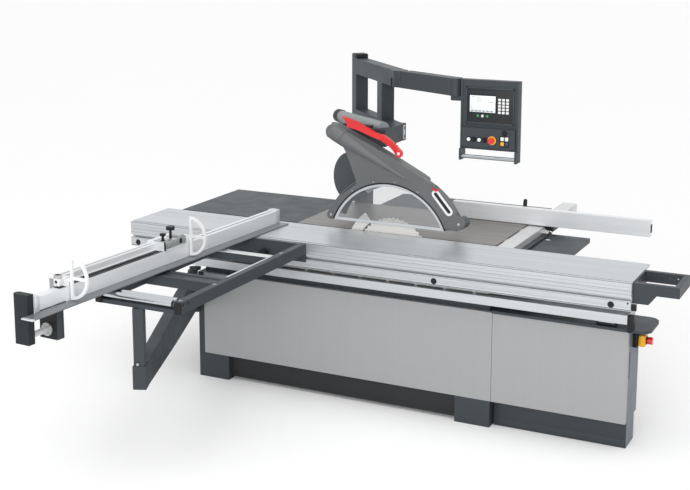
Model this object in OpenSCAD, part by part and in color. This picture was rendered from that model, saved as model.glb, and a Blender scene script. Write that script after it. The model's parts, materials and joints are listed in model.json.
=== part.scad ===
// Sliding table saw. Millimetres, +Z up, +X towards the infeed end, +Y towards the rip fence.
// The origin lies on the floor, in the middle of the four floor anchors, under the blade's plane.

/* [Stand] */
// Height of the table tops above the floor
table_h = 910; // [890:5:930]
// Length of the stand over its feet
stand_l = 1824; // [1810:2:1850]
// Depth of the stand over its front and rear feet
stand_w = 696; // [690:2:704]
// Height of the feet
foot_h = 148; // [130:2:160]
// Length of each foot
foot_l = 200; // [160:5:220]
// Width of each foot
foot_w = 150; // [130:5:170]
// Radius of the floor-anchor holes
anchor_r = 9; // [6:0.5:12]
// Gap between the front panels' top edge and the slide beam
beam_gap = 54; // [49:1:94]
// Thickness of the sheet-metal panels
sheet_t = 3; // [2:0.5:4]
// Width of the dark post at the stand's left end
end_post_w = 38; // [30:1:42]
// Outer radius of the dust spigot at the back
spigot_r = 70; // [50:5:80]
// Length of the dust spigot
spigot_l = 80; // [60:5:120]

/* [Infeed cabinet] */
// Length of the cabinet at the infeed end
cabinet_l = 720; // [660:10:740]
// Depth of the cabinet behind its panel
cabinet_w = 207; // [190:1:220]
// Length that the tray stands out past the cabinet
tray_out = 107; // [80:1:140]
// Thickness of the side tray
tray_t = 15; // [10:1:20]
// Depth of the side tray
tray_w = 260; // [240:5:280]

/* [Sliding table] */
// Length of the sliding table
slide_l = 3000; // [2900:20:3200]
// Distance from the stand's middle to the sliding table's left end
slide_left = 1345; // [1300:5:1400]
// Distance of the top's front edge from the blade plane
slide_reach = 380; // [376:1:390]
// Width of the ledge along the front of the sliding table
ledge_w = 24; // [20:1:28]
// Height of the sliding table
slide_h = 147; // [140:1:152]
// Depth of the sliding table's box section
slide_box_w = 189; // [180:1:192]
// Thickness of the top plate behind the box section
slide_top_t = 12; // [10:0.5:12]
// Gap between the sliding table and the blade plane
blade_side_gap = 8; // [7:0.5:10]
// Length of the push handle
handle_l = 230; // [200:5:260]

/* [Slide beam] */
// Length of the fixed beam under the sliding table
beam_l = 2940; // [2880:20:2960]
// Height of the beam
beam_h = 46; // [40:1:46]
// Depth of the beam
beam_w = 174; // [168:1:176]
// Height of the roller gap between beam and sliding table
roller_gap = 23; // [20:0.5:24]
// Number of rollers in the cage
roller_count = 9; // [5:1:12]

/* [Tables] */
// Length of the iron saw table
iron_l = 1239; // [1225:1:1250]
// Distance of the iron table's left end from the stand's middle
iron_left = 433; // [425:1:440]
// Depth of the iron table
iron_w = 660; // [655:1:661]
// Thickness of the iron table plate
iron_t = 25; // [20:1:28]
// Gap between the iron table and the blade plane
iron_gap = 6; // [5:0.5:8]
// Length of the left extension table
left_ext_l = 812; // [780:2:840]
// Depth of the rip-side extension table
rip_ext_w = 374; // [340:2:400]
// Height of the extension tables' folded edge
ext_h = 40; // [30:1:45]
// Length of the rip rail
rail_l = 1258; // [1240:2:1300]
// Width of the rip rail
rail_w = 91; // [80:1:95]
// Height of the rip rail
rail_h = 55; // [45:1:60]

/* [Saw unit] */
// Radius of the saw blade
blade_r = 225; // [200:5:225]
// Thickness of the saw blade
blade_t = 4; // [3:0.2:4.4]
// Height of the arbor below the table top
arbor_drop = 130; // [128:1:140]
// Distance of the arbor from the stand's middle
arbor_x = 185; // [175:1:195]
// Radius of the arbor
arbor_r = 20; // [15:0.5:22]
// Radius of both belt pulleys
pulley_r = 45; // [35:1:46]
// Radius of the motor
motor_r = 75; // [60:1:78]
// Length of the motor
motor_l = 200; // [160:5:204]
// Radius of the tilt rails about the blade line on the table top
tilt_r = 277; // [270:1:282]
// Width of the tilt rails
tilt_rail_w = 15; // [10:1:16]

/* [Guard] */
// Inner radius of the hood's arch
hood_r = 366; // [355:1:370]
// Width of the arch's band
hood_band = 54; // [45:1:58]
// Height of the hood's lower edge above the table
hood_clear = 55; // [50:1:70]
// Depth of the hood
hood_w = 166; // [160:1:168]
// Reach of the guard arm from its pivot to its shoulder
guard_arm_l = 611; // [600:1:620]
// Drop of the guard arm from its pivot to the hood
guard_arm_h = 281; // [275:1:290]
// Radius of the round chute behind the hood
chute_r = 160; // [120:2:162]

/* [Gantry] */
// Side of the square gantry posts
post_side = 80; // [70:1:90]
// Height of the gantry rails
gantry_rail_h = 96; // [80:1:100]
// Height of the lower gantry rail's underside above the table tops
gantry_low_rise = 490; // [480:2:500]
// Height of the top gantry rail's underside above the table tops
gantry_top_rise = 815; // [790:5:850]
// Side of the square guard column
column_side = 90; // [80:1:92]
// Width of the control panel
panel_w = 330; // [310:1:350]
// Height of the control panel's housing
panel_h = 381; // [340:1:390]
// Depth of the control panel's housing
panel_d = 50; // [40:1:56]

/* [Outrigger] */
// Length of the outrigger along the sliding table
rig_l = 494; // [470:2:520]
// Reach of the outrigger from the sliding table
rig_reach = 1246; // [1220:2:1260]
// Width of the outrigger's tubes
rig_tube_w = 39; // [34:1:44]
// Height of the outrigger's tubes
rig_tube_h = 60; // [56:1:66]
// Radius of the load rollers
load_r = 17.5; // [15:0.5:18]

/* [Crosscut fence] */
// Angle at which the fence stands, off square
fence_angle = 3.28; // [0:0.01:5]
// Width of the fence profile
fence_w = 56; // [50:1:60]
// Height of the fence profile
fence_h = 73; // [66:1:80]
// Length of the fence inwards of its pivot
fence_in = 385; // [375:1:388]
// Length of the fence outwards of its pivot
fence_out = 1460; // [1440:5:1480]
// Length of the extension that shows past the fence
ext_show = 212; // [200:2:224]
// Radius of the flip stops
flag_r = 105; // [90:1:108]
// Radius of the chrome guide tube
guide_r = 15; // [12:0.5:16]

/* [Swing arm] */
// Length of the boom from its hinge
boom_l = 1330; // [1310:2:1340]
// Thickness of the boom
boom_t = 60; // [54:1:62]
// Angle of the boom from the sliding table's direction
boom_angle = 67.65; // [66:0.05:72]
// Side of the support post
leg_side = 52; // [44:1:56]

/* [Rip fence] */
// Length of the rip fence
rip_l = 1192; // [1100:4:1240]
// Thickness of the rip fence
rip_t = 43; // [38:1:44]
// Height of the rip fence
rip_h = 95; // [80:1:100]
// Distance of the rip fence's face from the blade plane
rip_y = 555; // [540:1:570]

/* [Hidden] */
$fn = 48;

// Clearances: cuts run over, flat and curved faces stay clear, shafts run in their bores
over = 1;
fit = 0.3;
run = 0.05;

// Colours
dark_grey = "#3c4145";
mid_grey = "#6b6d6e";
light_grey = "#b9bcbe";
silver = "#c9ccce";
black = "#1c1d1e";
white = "#eeeeee";
red = "#c8202a";
yellow = "#f2c318";

// Stand
half_l = stand_l / 2;
half_w = stand_w / 2;
anchor_x = half_l - foot_l / 2;
anchor_y = half_w - foot_w / 2;
plinth_in = 26.5;
plinth_lift = 20;
plate_t = 6;
wall_t = 20;
back_t = 12;
back_in = 18;
back_y = half_w - back_in;
back_drop = 60;
back_top = table_h - back_drop;
slide_z0 = table_h - slide_h;
beam_top = slide_z0 - roller_gap;
beam_z0 = beam_top - beam_h;
panel_top = beam_z0 - beam_gap;
beam_pillar_w = 80;
beam_pillar_l = 170;
pillar_end = 42;
table_post_side = 60;
table_post_y = [60, 250];
table_post_in = [28, 6];
spigot_wall = 3;
spigot_z = 400;
hinge_out = 23;
hinge_front = 22;
hinge_pin_r = 12;
lug_r = 20;
lug_t = 20;
lug_back = 12;
barrel_rise = [-220, 10];
barrel_z = from(panel_top, barrel_rise);

// Panels and cabinet
pan_d = 25;
seam = 2;
seam_out = 5;
panel_seam_x = half_l + seam_out;
cabinet_x = panel_seam_x + seam / 2;
cabinet_end = cabinet_x + cabinet_l;
cabinet_y = -half_w + pan_d + seam / 2;
cabinet_wall = 6;
kick_in = 52;
kick_w = 156;
kick_short = 4;
vent_rise = [-260, -120];
vent_z = from(panel_top, vent_rise);
vent_w = 16;
vent_in = 10;
tray_front = 12;
tray_corner = 60;
estop_box = [24, 70, 63];
estop_in = 107;
estop_y = cabinet_y + estop_in;
estop_drop = 106;
estop_z = panel_top - estop_drop;
estop_collar_r = 24;
estop_collar_l = 38;
estop_stem_r = 8;
estop_head_r = 19;
estop_head_l = 24;
estop_gap = 6;

// Sliding table and beam
slide_x0 = -slide_left;
slide_x1 = slide_l - slide_left;
slide_y0 = -slide_reach - ledge_w;
slide_box_y = slide_y0 + slide_box_w;
ledge_drop = 2;
ledge_top_w = 20;
ledge_groove_d = 14;
slot_mouth = 16;
slot_head = 36;
slot_lip = 8;
slot_depth = 20;
slot_rise = 60;
face_groove = 2;
face_groove_rises = [18, 98, 121];
front_wall = 32;
slide_wall = 8;
slide_roof = 22;
seam_y = -112;
end_plate_t = 4;
beam_short = 15;
beam_x1 = slide_x1 - beam_short;
beam_x0 = beam_x1 - beam_l;
beam_wall = 6;
beam_foot_out = [-160, -80];
beam_foot_x = from(beam_x1, beam_foot_out);
beam_foot_in = [64, 154];
beam_foot_y = from(slide_y0, beam_foot_in);
roller_r = (roller_gap - 2 * fit) / 2;
roller_l = 110;
roller_in = 89;
roller_y = slide_y0 + roller_in;
cage_l = 1500;
cage_x0 = (slide_x0 + slide_x1 - cage_l) / 2;
cage_w = 130;
cage_t = 3;
cage_fit = 0.5;
handle_y = [-slide_reach, seam_y];
handle_bar = 28;
handle_step_share = 0.35;
handle_slim_share = 0.52;
handle_deep = 105;
handle_slim = 55;
handle_back_t = 8;
handle_hole_r = 5;
handle_holes = 6;

// Tables and rail
iron_x = [-iron_left, iron_l - iron_left];
iron_y = [iron_gap, iron_gap + iron_w];
iron_z = table_h - iron_t;
iron_rib_t = 20;
iron_rib_h = 35;
ext_t = 5;
left_ext_more = 9;
left_ext_w = iron_w + left_ext_more;
rip_ext_x0 = -200;
rail_gap = 6;
rail_x0 = iron_x[1] + rail_gap;
rail_x1 = rail_x0 + rail_w;
rail_drop = 5;
rail_z1 = table_h - rail_drop;
rail_wall = 5;
rail_foot_w = 60;
rail_foot_share = [0.1, 0.32, 0.49];
shelf_x = 280;
shelf_y = [45, 560];
shelf_drop = 48;
shelf_z = table_h - shelf_drop;
shelf_t = 6;
shelf_edge = 20;
shelf_hole_r = 20;
shelf_hole = [70, 430];

// Saw unit: positions are for the upright blade at its photographed height
arbor_z = table_h - arbor_drop;
flange_r = 40;
flange_t = 12;
nut_r = 30;
nut_t = 14;
carriage_out = [-265, 375];
carriage_x = from(arbor_x, carriage_out);
carriage_y = [224, 240];
carriage_rise = [-180, -40];
carriage_z = from(arbor_z, carriage_rise);
housing_y0 = 26;
housing_y = [housing_y0, carriage_y[1]];
housing_r = 38;
pulley_gap = 6;
pulley_w = 38;
pulley_y = from(carriage_y[1] + pulley_gap, [0, pulley_w]);
belt_t = 6;
belt_in = 4;
motor_out = 270;
motor_x = arbor_x + motor_out;
motor_drop = 130;
motor_z = arbor_z - motor_drop;
motor_y1 = carriage_y[0];
shaft_r = 12;
guide_out = [-165, 135];
guide_posts_x = from(arbor_x, guide_out);
guide_y = 185;
guide_post_r = 15;
sleeve_r = 28;
sleeve_rise = [-140, -60];
sleeve_z = from(arbor_z, sleeve_rise);
cradle_out = [-453, 455];
cradle_x = from(arbor_x, cradle_out);
cradle_t = 12;
cradle_rise = [-480, -460];
cradle_z = from(table_h, cradle_rise);
cradle_y = [60, 260];
cradle_cap_rise = [-72, -54];
cradle_cap_z = from(table_h, cradle_cap_rise);
cradle_cap_y = [160, 212];
cradle_outline_share = [
    [0.14, 1.73], [0.94, 1.73], [1.04, 0.47], [1.0, 0.2], [0.56, 0.19], [0.2, 1.05]
];
tilt_from_angle = 12;
tilt_to_angle = 74;
tilt_max_angle = 45;
trunnion_t = 20;
trunnion_side = 25;
trunnion_more_angle = 4;
groove_d = 10;
hanger_y = [228, 300];
hanger_down = 80;
tooth_count = 60;
tooth_r = 4;
knife_in = 5;
knife_w = 62;
knife_t = 3;
knife_top = 108;
knife_foot_out = [-265, -225];
knife_foot = from(arbor_x, knife_foot_out);
knife_foot_rise = [-90, -50];
knife_foot_z = from(arbor_z, knife_foot_rise);
knife_from_angle = 126;
knife_to_angle = 206;

// Gantry
gantry_low_z = table_h + gantry_low_rise;
gantry_top_z = table_h + gantry_top_rise;
top_z1 = gantry_top_z + gantry_rail_h;
rear_post = [-392, 770];
post_over = 25;
rear_post_top = top_z1 + post_over;
arm_hinge = [115, 250];
gantry_angle = atan2(arm_hinge[1] - rear_post[1], arm_hinge[0] - rear_post[0]);
gantry_l = norm(arm_hinge - rear_post);
front_post_u = 479;
low_rail_l = 640;
low_rail_h = 100;
cross_x = [15, 115];
cross_y = [45, 340];
bracket_x0 = -238;
bracket_y = [66, 96];
bracket_rise = [30, 115];
bracket_z = from(gantry_low_z, bracket_rise);
knuckle_r = 45;
knuckle_gap = 52;
arm_pin_r = 14;
column_u = 80;
column_z0 = 250;
strut_h = 90;
column_wall = 8;
pipe_r = 35;
pipe_z = gantry_low_z + low_rail_h;
pipe_from = [-377, 434];
pipe_to = [77, 105];
pipe_cap_r = 38;
pipe_cap_l = 45;

// Guard
hood_off = [-12, -73];
hood_c = [arbor_x, table_h] + hood_off;
hood_y0 = -40;
hood_y1 = hood_y0 + hood_w;
hood_side_t = 10;
roof_t = 12;
roof_from_angle = 35;
guard_pivot_off = [45, 77];
guard_pivot = [bracket_x0, gantry_low_z] + guard_pivot_off;
guard_shaft_r = 12;
guard_cap_r = 50;
guard_cap_t = 6;
arm_w = 80;
arm_y = [hood_y0, hood_y0 + arm_w];
arm_share = [
    [-0.06, 0.10], [0.0, 0.16], [0.18, -0.064], [1.0, -0.911], [0.936, -1.02], [0.8, -0.90],
    [0.599, -0.83], [0.43, -0.88], [0.283, -1.0], [0.2275, -1.0035], [0.09, -0.23], [-0.06, -0.06]
];
chute_off = [-224, 346];
chute_c = hood_c + chute_off;
chute_t = 20;
boss_r = 26;
boss_t = 12;
boss_offs = [[-389, 142], [428, 179]];
wide_r = 470;
wide_t = 34;
wide_angles = [19, 50];
window_t = 4;
window_in = 3;
lever_pivot_off = [73, 63];
lever_pivot = guard_pivot + lever_pivot_off;
lever_reach = [348, -165];
lever_hub_r = 22;
lever_tip_r = 22;
lever_share = [
    [0, -0.057], [0.1, -0.047], [0.19, -0.027], [0.37, 0.015], [0.64, 0.017], [0.81, 0.004],
    [0.97, -0.052], [1.0, 0.055], [0.87, 0.095], [0.72, 0.138], [0.565, 0.122], [0.316, 0.133],
    [0.09, 0.095], [0, 0.057]
];
lever_hole_r = 8;
lever_in = [20, 42];
lever_y = from(hood_y0, lever_in);
lever_side_gap = 0.5;
lug_y = [hood_y0, lever_y[0] - lever_side_gap];
lever_pin_r = 8;
lever_lug_share = [[-0.02, 0.1], [0.06, 0.3], [0.15, 0.33], [0.19, 0.2], [0.18, -0.1]];

// Control panel
panel_pin = [540, 40];
panel_out = 48;
panel_x0 = panel_pin[0] + panel_out;
panel_y0 = 0;
panel_pin_r = 12;
panel_arm_w = 76;
panel_boss_r = 41;
panel_lug_h = 26;
panel_lug_gap = 1;
panel_lug_z = from(gantry_top_z - panel_lug_gap, [-panel_lug_h, 0]);
panel_lug_half = 22;
panel_lug_r = 26;
panel_z1 = top_z1;
panel_z0 = panel_z1 - panel_h;
cheek_t = 12;
cheek_down = 62;
cheek_y0 = -20;
panel_handle_r = 11;
panel_handle_c = [-5, -42];
deck_t = 14;
deck_z = [15, 120];
deck_in = 12;
button_r = 10;
button_l = 18;
button_out = 8;
button_deep = 6;
button_rise = 56;
button_shares = [0.168, 0.255, 0.353, 0.445];
panel_estop_share = 0.566;
panel_estop_r = 17;
panel_estop_neck_r = 9;
panel_estop_head = 16;
panel_estop_gap = 5;

// Outrigger
rig_x1 = -161;
rig_x0 = rig_x1 - rig_l;
rig_plate_t = 8;
rig_y1 = slide_y0 - fit - rig_plate_t;
rig_y0 = slide_y0 - rig_reach;
rig_drop = 5;
rig_z1 = table_h - rig_drop;
rig_z0 = rig_z1 - rig_tube_h;
rig_plate_rise = [-110, -10];
rig_plate_z = from(table_h, rig_plate_rise);
bar_a_in = [930, 970];
bar_a = from(rig_y0, bar_a_in);
bar_b_in = [350, 470];
bar_b = from(rig_y0, bar_b_in);
bar_drop = 10;
bar_up = 5;
x_tube_w = 35;
x_tube_h = 20;
load_in = [18, 60];
load_y = from(rig_y0, load_in);
load_z = rig_z1 - load_r;
load_pin_r = 8;
load_gap = 4;
load_pin_in = 6;
nut_fit = 0.5;
nut_in = [95, 395];
nut_x = from(rig_x0, nut_in);
knob_in = 235;
knob_x = rig_x0 + knob_in;
knob_z = slide_z0 + slot_rise;
knob_r = 28;
knob_l = 30;
knob_neck = 8;
knob_stem_r = 6;
fence_pivot_off = [83.5, -36];
fence_pivot = [rig_x0, slide_y0] + fence_pivot_off;
pad_l = 135;
pad_x1 = rig_x0 + pad_l;
pad_more = 40;
pad_y0 = fence_pivot[1] - pad_more;
pad_t = 20;
fence_pin_r = 10;
fence_boss_r = 25;

// Crosscut fence, drawn outwards along -Y from its pivot
fence_lift = 1;
base_t = 6;
base_z = table_h + fence_lift;
base_z1 = base_z + base_t;
base_front = 92;
base_more = 295;
base_gap = 2;
fence_z1 = base_z1 + fence_h;
fence_wall = 4;
fence_slot = 12;
fence_pin_top = 24;
fence_rail_w = 52;
fence_rail_rise = 32;
fence_rail_step = 8;
clamp_y = [-720, -540];
clamp_x = [-80, 34];
clamp_h = 45;
clamp_knob_r = 23;
clamp_knob_h = 17;
clamp_stem_r = 7;
clamp_stem_h = 48;
bearing_out = [-73, -31];
bearing_y = from(-fence_out, bearing_out);
bearing_x = [-76, 30];
bearing_drop = 160;
bearing_z0 = base_z - bearing_drop;
ext_fit = 0.5;
ext_in = 320;
end_y1 = -fence_out - ext_show;
end_t = 40;
end_x = [-70, 22];
end_rise = [-138, 97];
end_z = from(base_z, end_rise);
end_corner = 18;
guide_drop = 115;
guide_z = base_z - guide_drop;
tube_x = -30;
tube_in = 6;
tube_flange_r = 32;
tube_flange_t = 8;
stop_out = 506;
stop_end = 26;
stop_y = [-stop_out, -fence_out + stop_end];
stop_half = 25;
stop_t = 14;
stop_pin = [22, 26];
stop_pin_r = 5;
ear_h = 34;
ear_w = 16;
flag_t = 12;
flag_gap = 0.5;
flag_x = 34;
flag_rise = 109;
flag_rim = 14;
flag_hub_r = 9;

// Swing arm, drawn along +X from its hinge
hinge = [-half_l - hinge_out, -half_w - hinge_front];
barrel_r = 30;
boom_root = 22;
boom_share = [[0, 0.02], [0, 0.96], [0.49, 0.8], [1.0, 0.6], [1.0, 0.08], [0.49, 0.02]];
boom_core_share = [[0.06, 0.07], [0.06, 0.9], [0.5, 0.75], [0.64, 0.7], [0.64, 0.1], [0.5, 0.07]];
sleeve_l = 430;
sleeve_from = boom_l - sleeve_l;
inner_rise = [50, 110];
inner_z = from(barrel_z[0], inner_rise);
inner_wall = 8;
inner_fit = 0.5;
inner_l = 380;
inner_from = boom_l - inner_l;
leg_gap = 6;
leg_clear = 2;
leg_low = 19;
leg_z = [barrel_z[0] + leg_low, rig_z0 - leg_clear];
leg_block_h = 116;
leg_block_z = leg_z[0] + leg_block_h;
leg_block_more = 6;

// Rip fence
rip_in = 478;
rip_x0 = rail_x0 - rip_in;
rip_lift = 3;
rip_z0 = table_h + rip_lift;
carrier_out = [-72, 148];
carrier_x = from(rail_x0, carrier_out);
carrier_y = [45, 125];
carrier_lift = 2;
carrier_t = 18;
carrier_z = from(table_h + carrier_lift, [0, carrier_t]);
carrier_lip_t = 12;
carrier_lip_drop = 30;
carrier_lip_z = table_h - carrier_lip_drop;
carrier_up_out = [-20, 88];
carrier_up_x = from(rail_x0, carrier_up_out);
carrier_up_t = 40;
carrier_up_h = 55;
rip_slot_rise = [32, 44];
rip_slot_head = 5;
rip_slot_lip = 8;
rip_slot_d = 16;
rip_lever_out = [-67, -42];
rip_lever_x = from(rail_x0, rip_lever_out);
rip_lever_off = [85, 38];
rip_lever_c = [rip_y, table_h] + rip_lever_off;
rip_lever_pin_r = 6;
rip_lever_hub_r = 14;
rip_lever_l = 95;
rip_lever_w = 16;
rip_lever_angle = 12;
rip_ear_t = 14;
rip_knob_off = [110, 11];
rip_knob_c = [rip_y, table_h] + rip_knob_off;
rip_knob_r = 18;
rip_knob_l = 28;
rip_knob_neck = 12;
rip_stem_r = 6;

// Block between two values on each axis
module span(x, y, z) {
    translate([x[0], y[0], z[0]]) cube([x[1] - x[0], y[1] - y[0], z[1] - z[0]]);
}

// Rectangle between two values on each axis
module area(x, y) {
    translate([x[0], y[0]]) square([x[1] - x[0], y[1] - y[0]]);
}

// Round bars along X, Y and Z, each placed by its centre on the other two axes
module rod_x(c, r, x) {
    translate([x[0], c[0], c[1]]) rotate([0, 90, 0]) cylinder(r = r, h = x[1] - x[0]);
}

module rod_y(c, r, y) {
    translate([c[0], y[1], c[1]]) rotate([90, 0, 0]) cylinder(r = r, h = y[1] - y[0]);
}

module rod_z(c, r, z) {
    translate([c[0], c[1], z[0]]) cylinder(r = r, h = z[1] - z[0]);
}

// Flat outlines drawn on X and Z, or on Y and Z, given a thickness
module slab_y(y) {
    translate([0, y[1], 0]) rotate([90, 0, 0]) linear_extrude(y[1] - y[0]) children();
}

module slab_x(x) {
    translate([x[0], 0, 0]) rotate([90, 0, 90]) linear_extrude(x[1] - x[0]) children();
}

function grow(r, d) = [r[0] - d, r[1] + d];
function about(c, half) = [c - half, c + half];
function from(c, r) = [c + r[0], c + r[1]];
function shares(list, w, h, c = [0, 0]) = [for (p = list) [c[0] + p[0] * w, c[1] + p[1] * h]];

// Part of a ring between two angles under 180 degrees apart
module ring_part(r0, r1, from, to) {
    far = 2 * r1;
    intersection() {
        difference() {
            circle(r1);
            circle(r0);
        }
        polygon([[0, 0], far * [cos(from), sin(from)], far * [cos((from + to) / 2), sin((from + to) / 2)],
            far * [cos(to), sin(to)]]);
    }
}

module stand_frame() {
    color(dark_grey) difference() {
        union() {
            stand_feet();
            stand_shell();
            stand_supports();
            swing_hinge();
            rod_y([arbor_x, spigot_z], spigot_r, [back_y - back_t, back_y + spigot_l]);
        }
        for (sx = [-1, 1], sy = [-1, 1])
            rod_z([sx * anchor_x, sy * anchor_y], anchor_r, [-over, foot_h]);
        rod_y([arbor_x, spigot_z], spigot_r - spigot_wall, grow([back_y - back_t, back_y + spigot_l], over));
    }
}

module stand_feet() {
    for (sx = [-1, 1], sy = [-1, 1])
        span(about(sx * anchor_x, foot_l / 2), about(sy * anchor_y, foot_w / 2), [0, foot_h]);
    x = [-anchor_x, anchor_x];
    y = [-half_w + plinth_in, half_w - plinth_in];
    difference() {
        span(x, y, [plinth_lift, foot_h]);
        span(grow(x, -plate_t), grow(y, -plate_t), [plinth_lift - over, foot_h - plate_t]);
    }
}

module stand_shell() {
    span([-half_l, -half_l + end_post_w], [-half_w, back_y], [foot_h, panel_top]);
    span([-half_l, -half_l + wall_t], [iron_gap + wall_t, back_y], [panel_top, table_h - ext_h]);
    span([half_l - wall_t, half_l], [cabinet_y, back_y], [foot_h, panel_top]);
    span([-half_l, half_l], [back_y - back_t, back_y], [foot_h, back_top]);
    span([-half_l + end_post_w - over, half_l - wall_t + over], [cabinet_y + over, cabinet_y + plate_t],
        [panel_top - pan_d, beam_z0]);
}

module stand_supports() {
    y0 = cabinet_y + plate_t - over;
    for (x = [-half_l + pillar_end, half_l - pillar_end + wall_t - beam_pillar_l])
        span([x, x + beam_pillar_l], [y0, y0 + beam_pillar_w], [foot_h, beam_z0]);
    for (x = [iron_x[0] + table_post_in[0], iron_x[1] - table_post_in[1] - table_post_side], y = table_post_y)
        span([x, x + table_post_side], [y, y + table_post_side], [foot_h, iron_z]);
}

// Fixed lugs and pin of the swing arm's hinge
module swing_hinge() {
    for (z = [from(barrel_z[0] - fit, [-lug_t, 0]), from(barrel_z[1] + fit, [0, lug_t])]) {
        rod_z(hinge, lug_r, z);
        span([hinge[0], -half_l + lug_back], [hinge[1] - lug_r / 2, -half_w + lug_back], z);
    }
    rod_z(hinge, hinge_pin_r, [barrel_z[0] - lug_t, barrel_z[1] + lug_t]);
}

// Folded front panel, open at the back
module pan(x) {
    z = [foot_h, panel_top];
    color(light_grey) difference() {
        span(x, [-half_w, -half_w + pan_d], z);
        span(grow(x, -sheet_t), [-half_w + sheet_t, -half_w + pan_d + over], grow(z, -sheet_t));
    }
}

module front_panel_left() {
    pan([-half_l + end_post_w, panel_seam_x - seam / 2]);
}

module front_panel_right() {
    pan([cabinet_x, cabinet_end]);
}

module infeed_cabinet() {
    x = [cabinet_x, cabinet_end];
    y = [cabinet_y, cabinet_y + cabinet_w];
    z = [foot_h, panel_top];
    vent_y = y[0] + vent_in;
    color(mid_grey) {
        difference() {
            span(x, y, z);
            span(grow(x, -cabinet_wall), [y[0] - over, y[1] - cabinet_wall], grow(z, -cabinet_wall));
            span([x[1] - cabinet_wall - over, x[1] + over], [vent_y, vent_y + vent_w], vent_z);
        }
        kick_y = -half_w + kick_in;
        difference() {
            span([x[0], x[1] - kick_short], [kick_y, kick_y + kick_w], [0, foot_h]);
            span([x[0] + plate_t, x[1] - kick_short - plate_t], [kick_y + plate_t, kick_y + kick_w - plate_t],
                [-over, foot_h - plate_t]);
        }
    }
}

module side_tray() {
    y0 = -half_w - tray_front;
    x1 = cabinet_end + tray_out;
    color(dark_grey) translate([0, 0, panel_top]) linear_extrude(tray_t) {
        area([cabinet_x, x1 - tray_corner], [y0, y0 + tray_w]);
        area([x1 - tray_corner, x1], [y0 + tray_corner, y0 + tray_w - tray_corner]);
        for (y = [y0 + tray_corner, y0 + tray_w - tray_corner])
            translate([x1 - tray_corner, y]) circle(tray_corner);
    }
}

estop_c = [estop_y, estop_z + estop_box[2] / 2];
estop_x = cabinet_end + estop_box[0] + estop_collar_l;

module estop_housing() {
    color(yellow) difference() {
        union() {
            span([cabinet_end, cabinet_end + estop_box[0]], about(estop_y, estop_box[1] / 2),
                [estop_z, estop_z + estop_box[2]]);
            rod_x(estop_c, estop_collar_r, [cabinet_end + estop_box[0] - over, estop_x]);
        }
        rod_x(estop_c, estop_stem_r + fit, [cabinet_end + estop_box[0] / 2, estop_x + over]);
    }
}

module cabinet_estop() {
    color(red) {
        rod_x(estop_c, estop_stem_r, [estop_x - estop_collar_l / 2, estop_x + estop_gap + over]);
        rod_x(estop_c, estop_head_r, [estop_x + estop_gap, estop_x + estop_gap + estop_head_l]);
    }
}

module slide_beam() {
    y = [slide_y0, slide_y0 + beam_w];
    z = [beam_z0, beam_top];
    color(silver) {
        difference() {
            span([beam_x0, beam_x1], y, z);
            span([beam_x0 + beam_wall, beam_x1 - beam_wall], grow(y, -beam_wall), grow(z, -beam_wall));
        }
        span(beam_foot_x, beam_foot_y, [panel_top + tray_t, beam_z0]);
    }
}

function roller_at(i) = cage_x0 + cage_l * (2 * i + 1) / (2 * roller_count);

module roller_cage() {
    z = (beam_top + slide_z0) / 2;
    color(silver) {
        difference() {
            span([cage_x0, cage_x0 + cage_l], about(roller_y, cage_w / 2), about(z, cage_t / 2));
            for (i = [0 : roller_count - 1])
                span(about(roller_at(i), roller_r + cage_fit),
                    about(roller_y, roller_l / 2 + cage_fit), about(z, cage_t));
        }
        for (i = [0 : roller_count - 1])
            rod_y([roller_at(i), z], roller_r, about(roller_y, roller_l / 2));
    }
}

module slide_outline() {
    top_y1 = -blade_side_gap;
    under = table_h - slide_top_t;
    groove_y = slide_y0 + ledge_top_w;
    polygon([
        [slide_y0, slide_z0], [slide_y0, table_h - ledge_drop], [groove_y, table_h - ledge_drop],
        [groove_y, table_h - ledge_groove_d], [-slide_reach, table_h - ledge_groove_d],
        [-slide_reach, table_h], [top_y1, table_h], [top_y1 - slide_top_t, under],
        [slide_box_y, under], [slide_box_y, slide_z0]
    ]);
}

module slide_cuts() {
    z = slide_z0 + slot_rise;
    area([slide_y0 - over, slide_y0 + slot_lip + over], about(z, slot_mouth / 2));
    area([slide_y0 + slot_lip, slide_y0 + slot_depth], about(z, slot_head / 2));
    for (rise = face_groove_rises)
        area([slide_y0 - over, slide_y0 + face_groove], [slide_z0 + rise, slide_z0 + rise + face_groove]);
    area(about(seam_y, face_groove), [table_h - face_groove, table_h + over]);
}

module sliding_table() {
    color(silver) {
        slab_x([slide_x0, slide_x1]) difference() {
            slide_outline();
            slide_cuts();
            area([slide_y0 + front_wall, slide_box_y - slide_wall],
                [slide_z0 + slide_wall, table_h - slide_roof]);
        }
        for (x = [slide_x0, slide_x1 - end_plate_t]) slab_x([x, x + end_plate_t]) difference() {
            slide_outline();
            slide_cuts();
        }
    }
}

module push_handle() {
    x = [slide_x1, slide_x1 + handle_l];
    z1 = table_h - 2 * ledge_drop;
    step_x = x[0] + handle_l * handle_step_share;
    slim_x = x[0] + handle_l * handle_slim_share;
    inner = grow(handle_y, -handle_bar);
    color(dark_grey) {
        slab_y([handle_y[0], handle_y[0] + handle_bar]) polygon([
            [x[0], z1 - handle_deep], [step_x, z1 - handle_deep], [slim_x, z1 - handle_slim],
            [x[1], z1 - handle_slim], [x[1], z1], [x[0], z1]
        ]);
        span(x, [handle_y[1] - handle_bar, handle_y[1]], [z1 - handle_slim, z1]);
        span([x[1] - handle_bar, x[1]], handle_y, [z1 - handle_slim, z1]);
        difference() {
            span([x[0], x[0] + handle_back_t], handle_y, [z1 - handle_deep, z1]);
            for (i = [1 : handle_holes])
                rod_x([inner[0] + i * (inner[1] - inner[0]) / (handle_holes + 1), z1 - handle_slim / 2],
                    handle_hole_r, [x[0] - over, x[0] + handle_back_t + over]);
        }
    }
}

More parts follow.
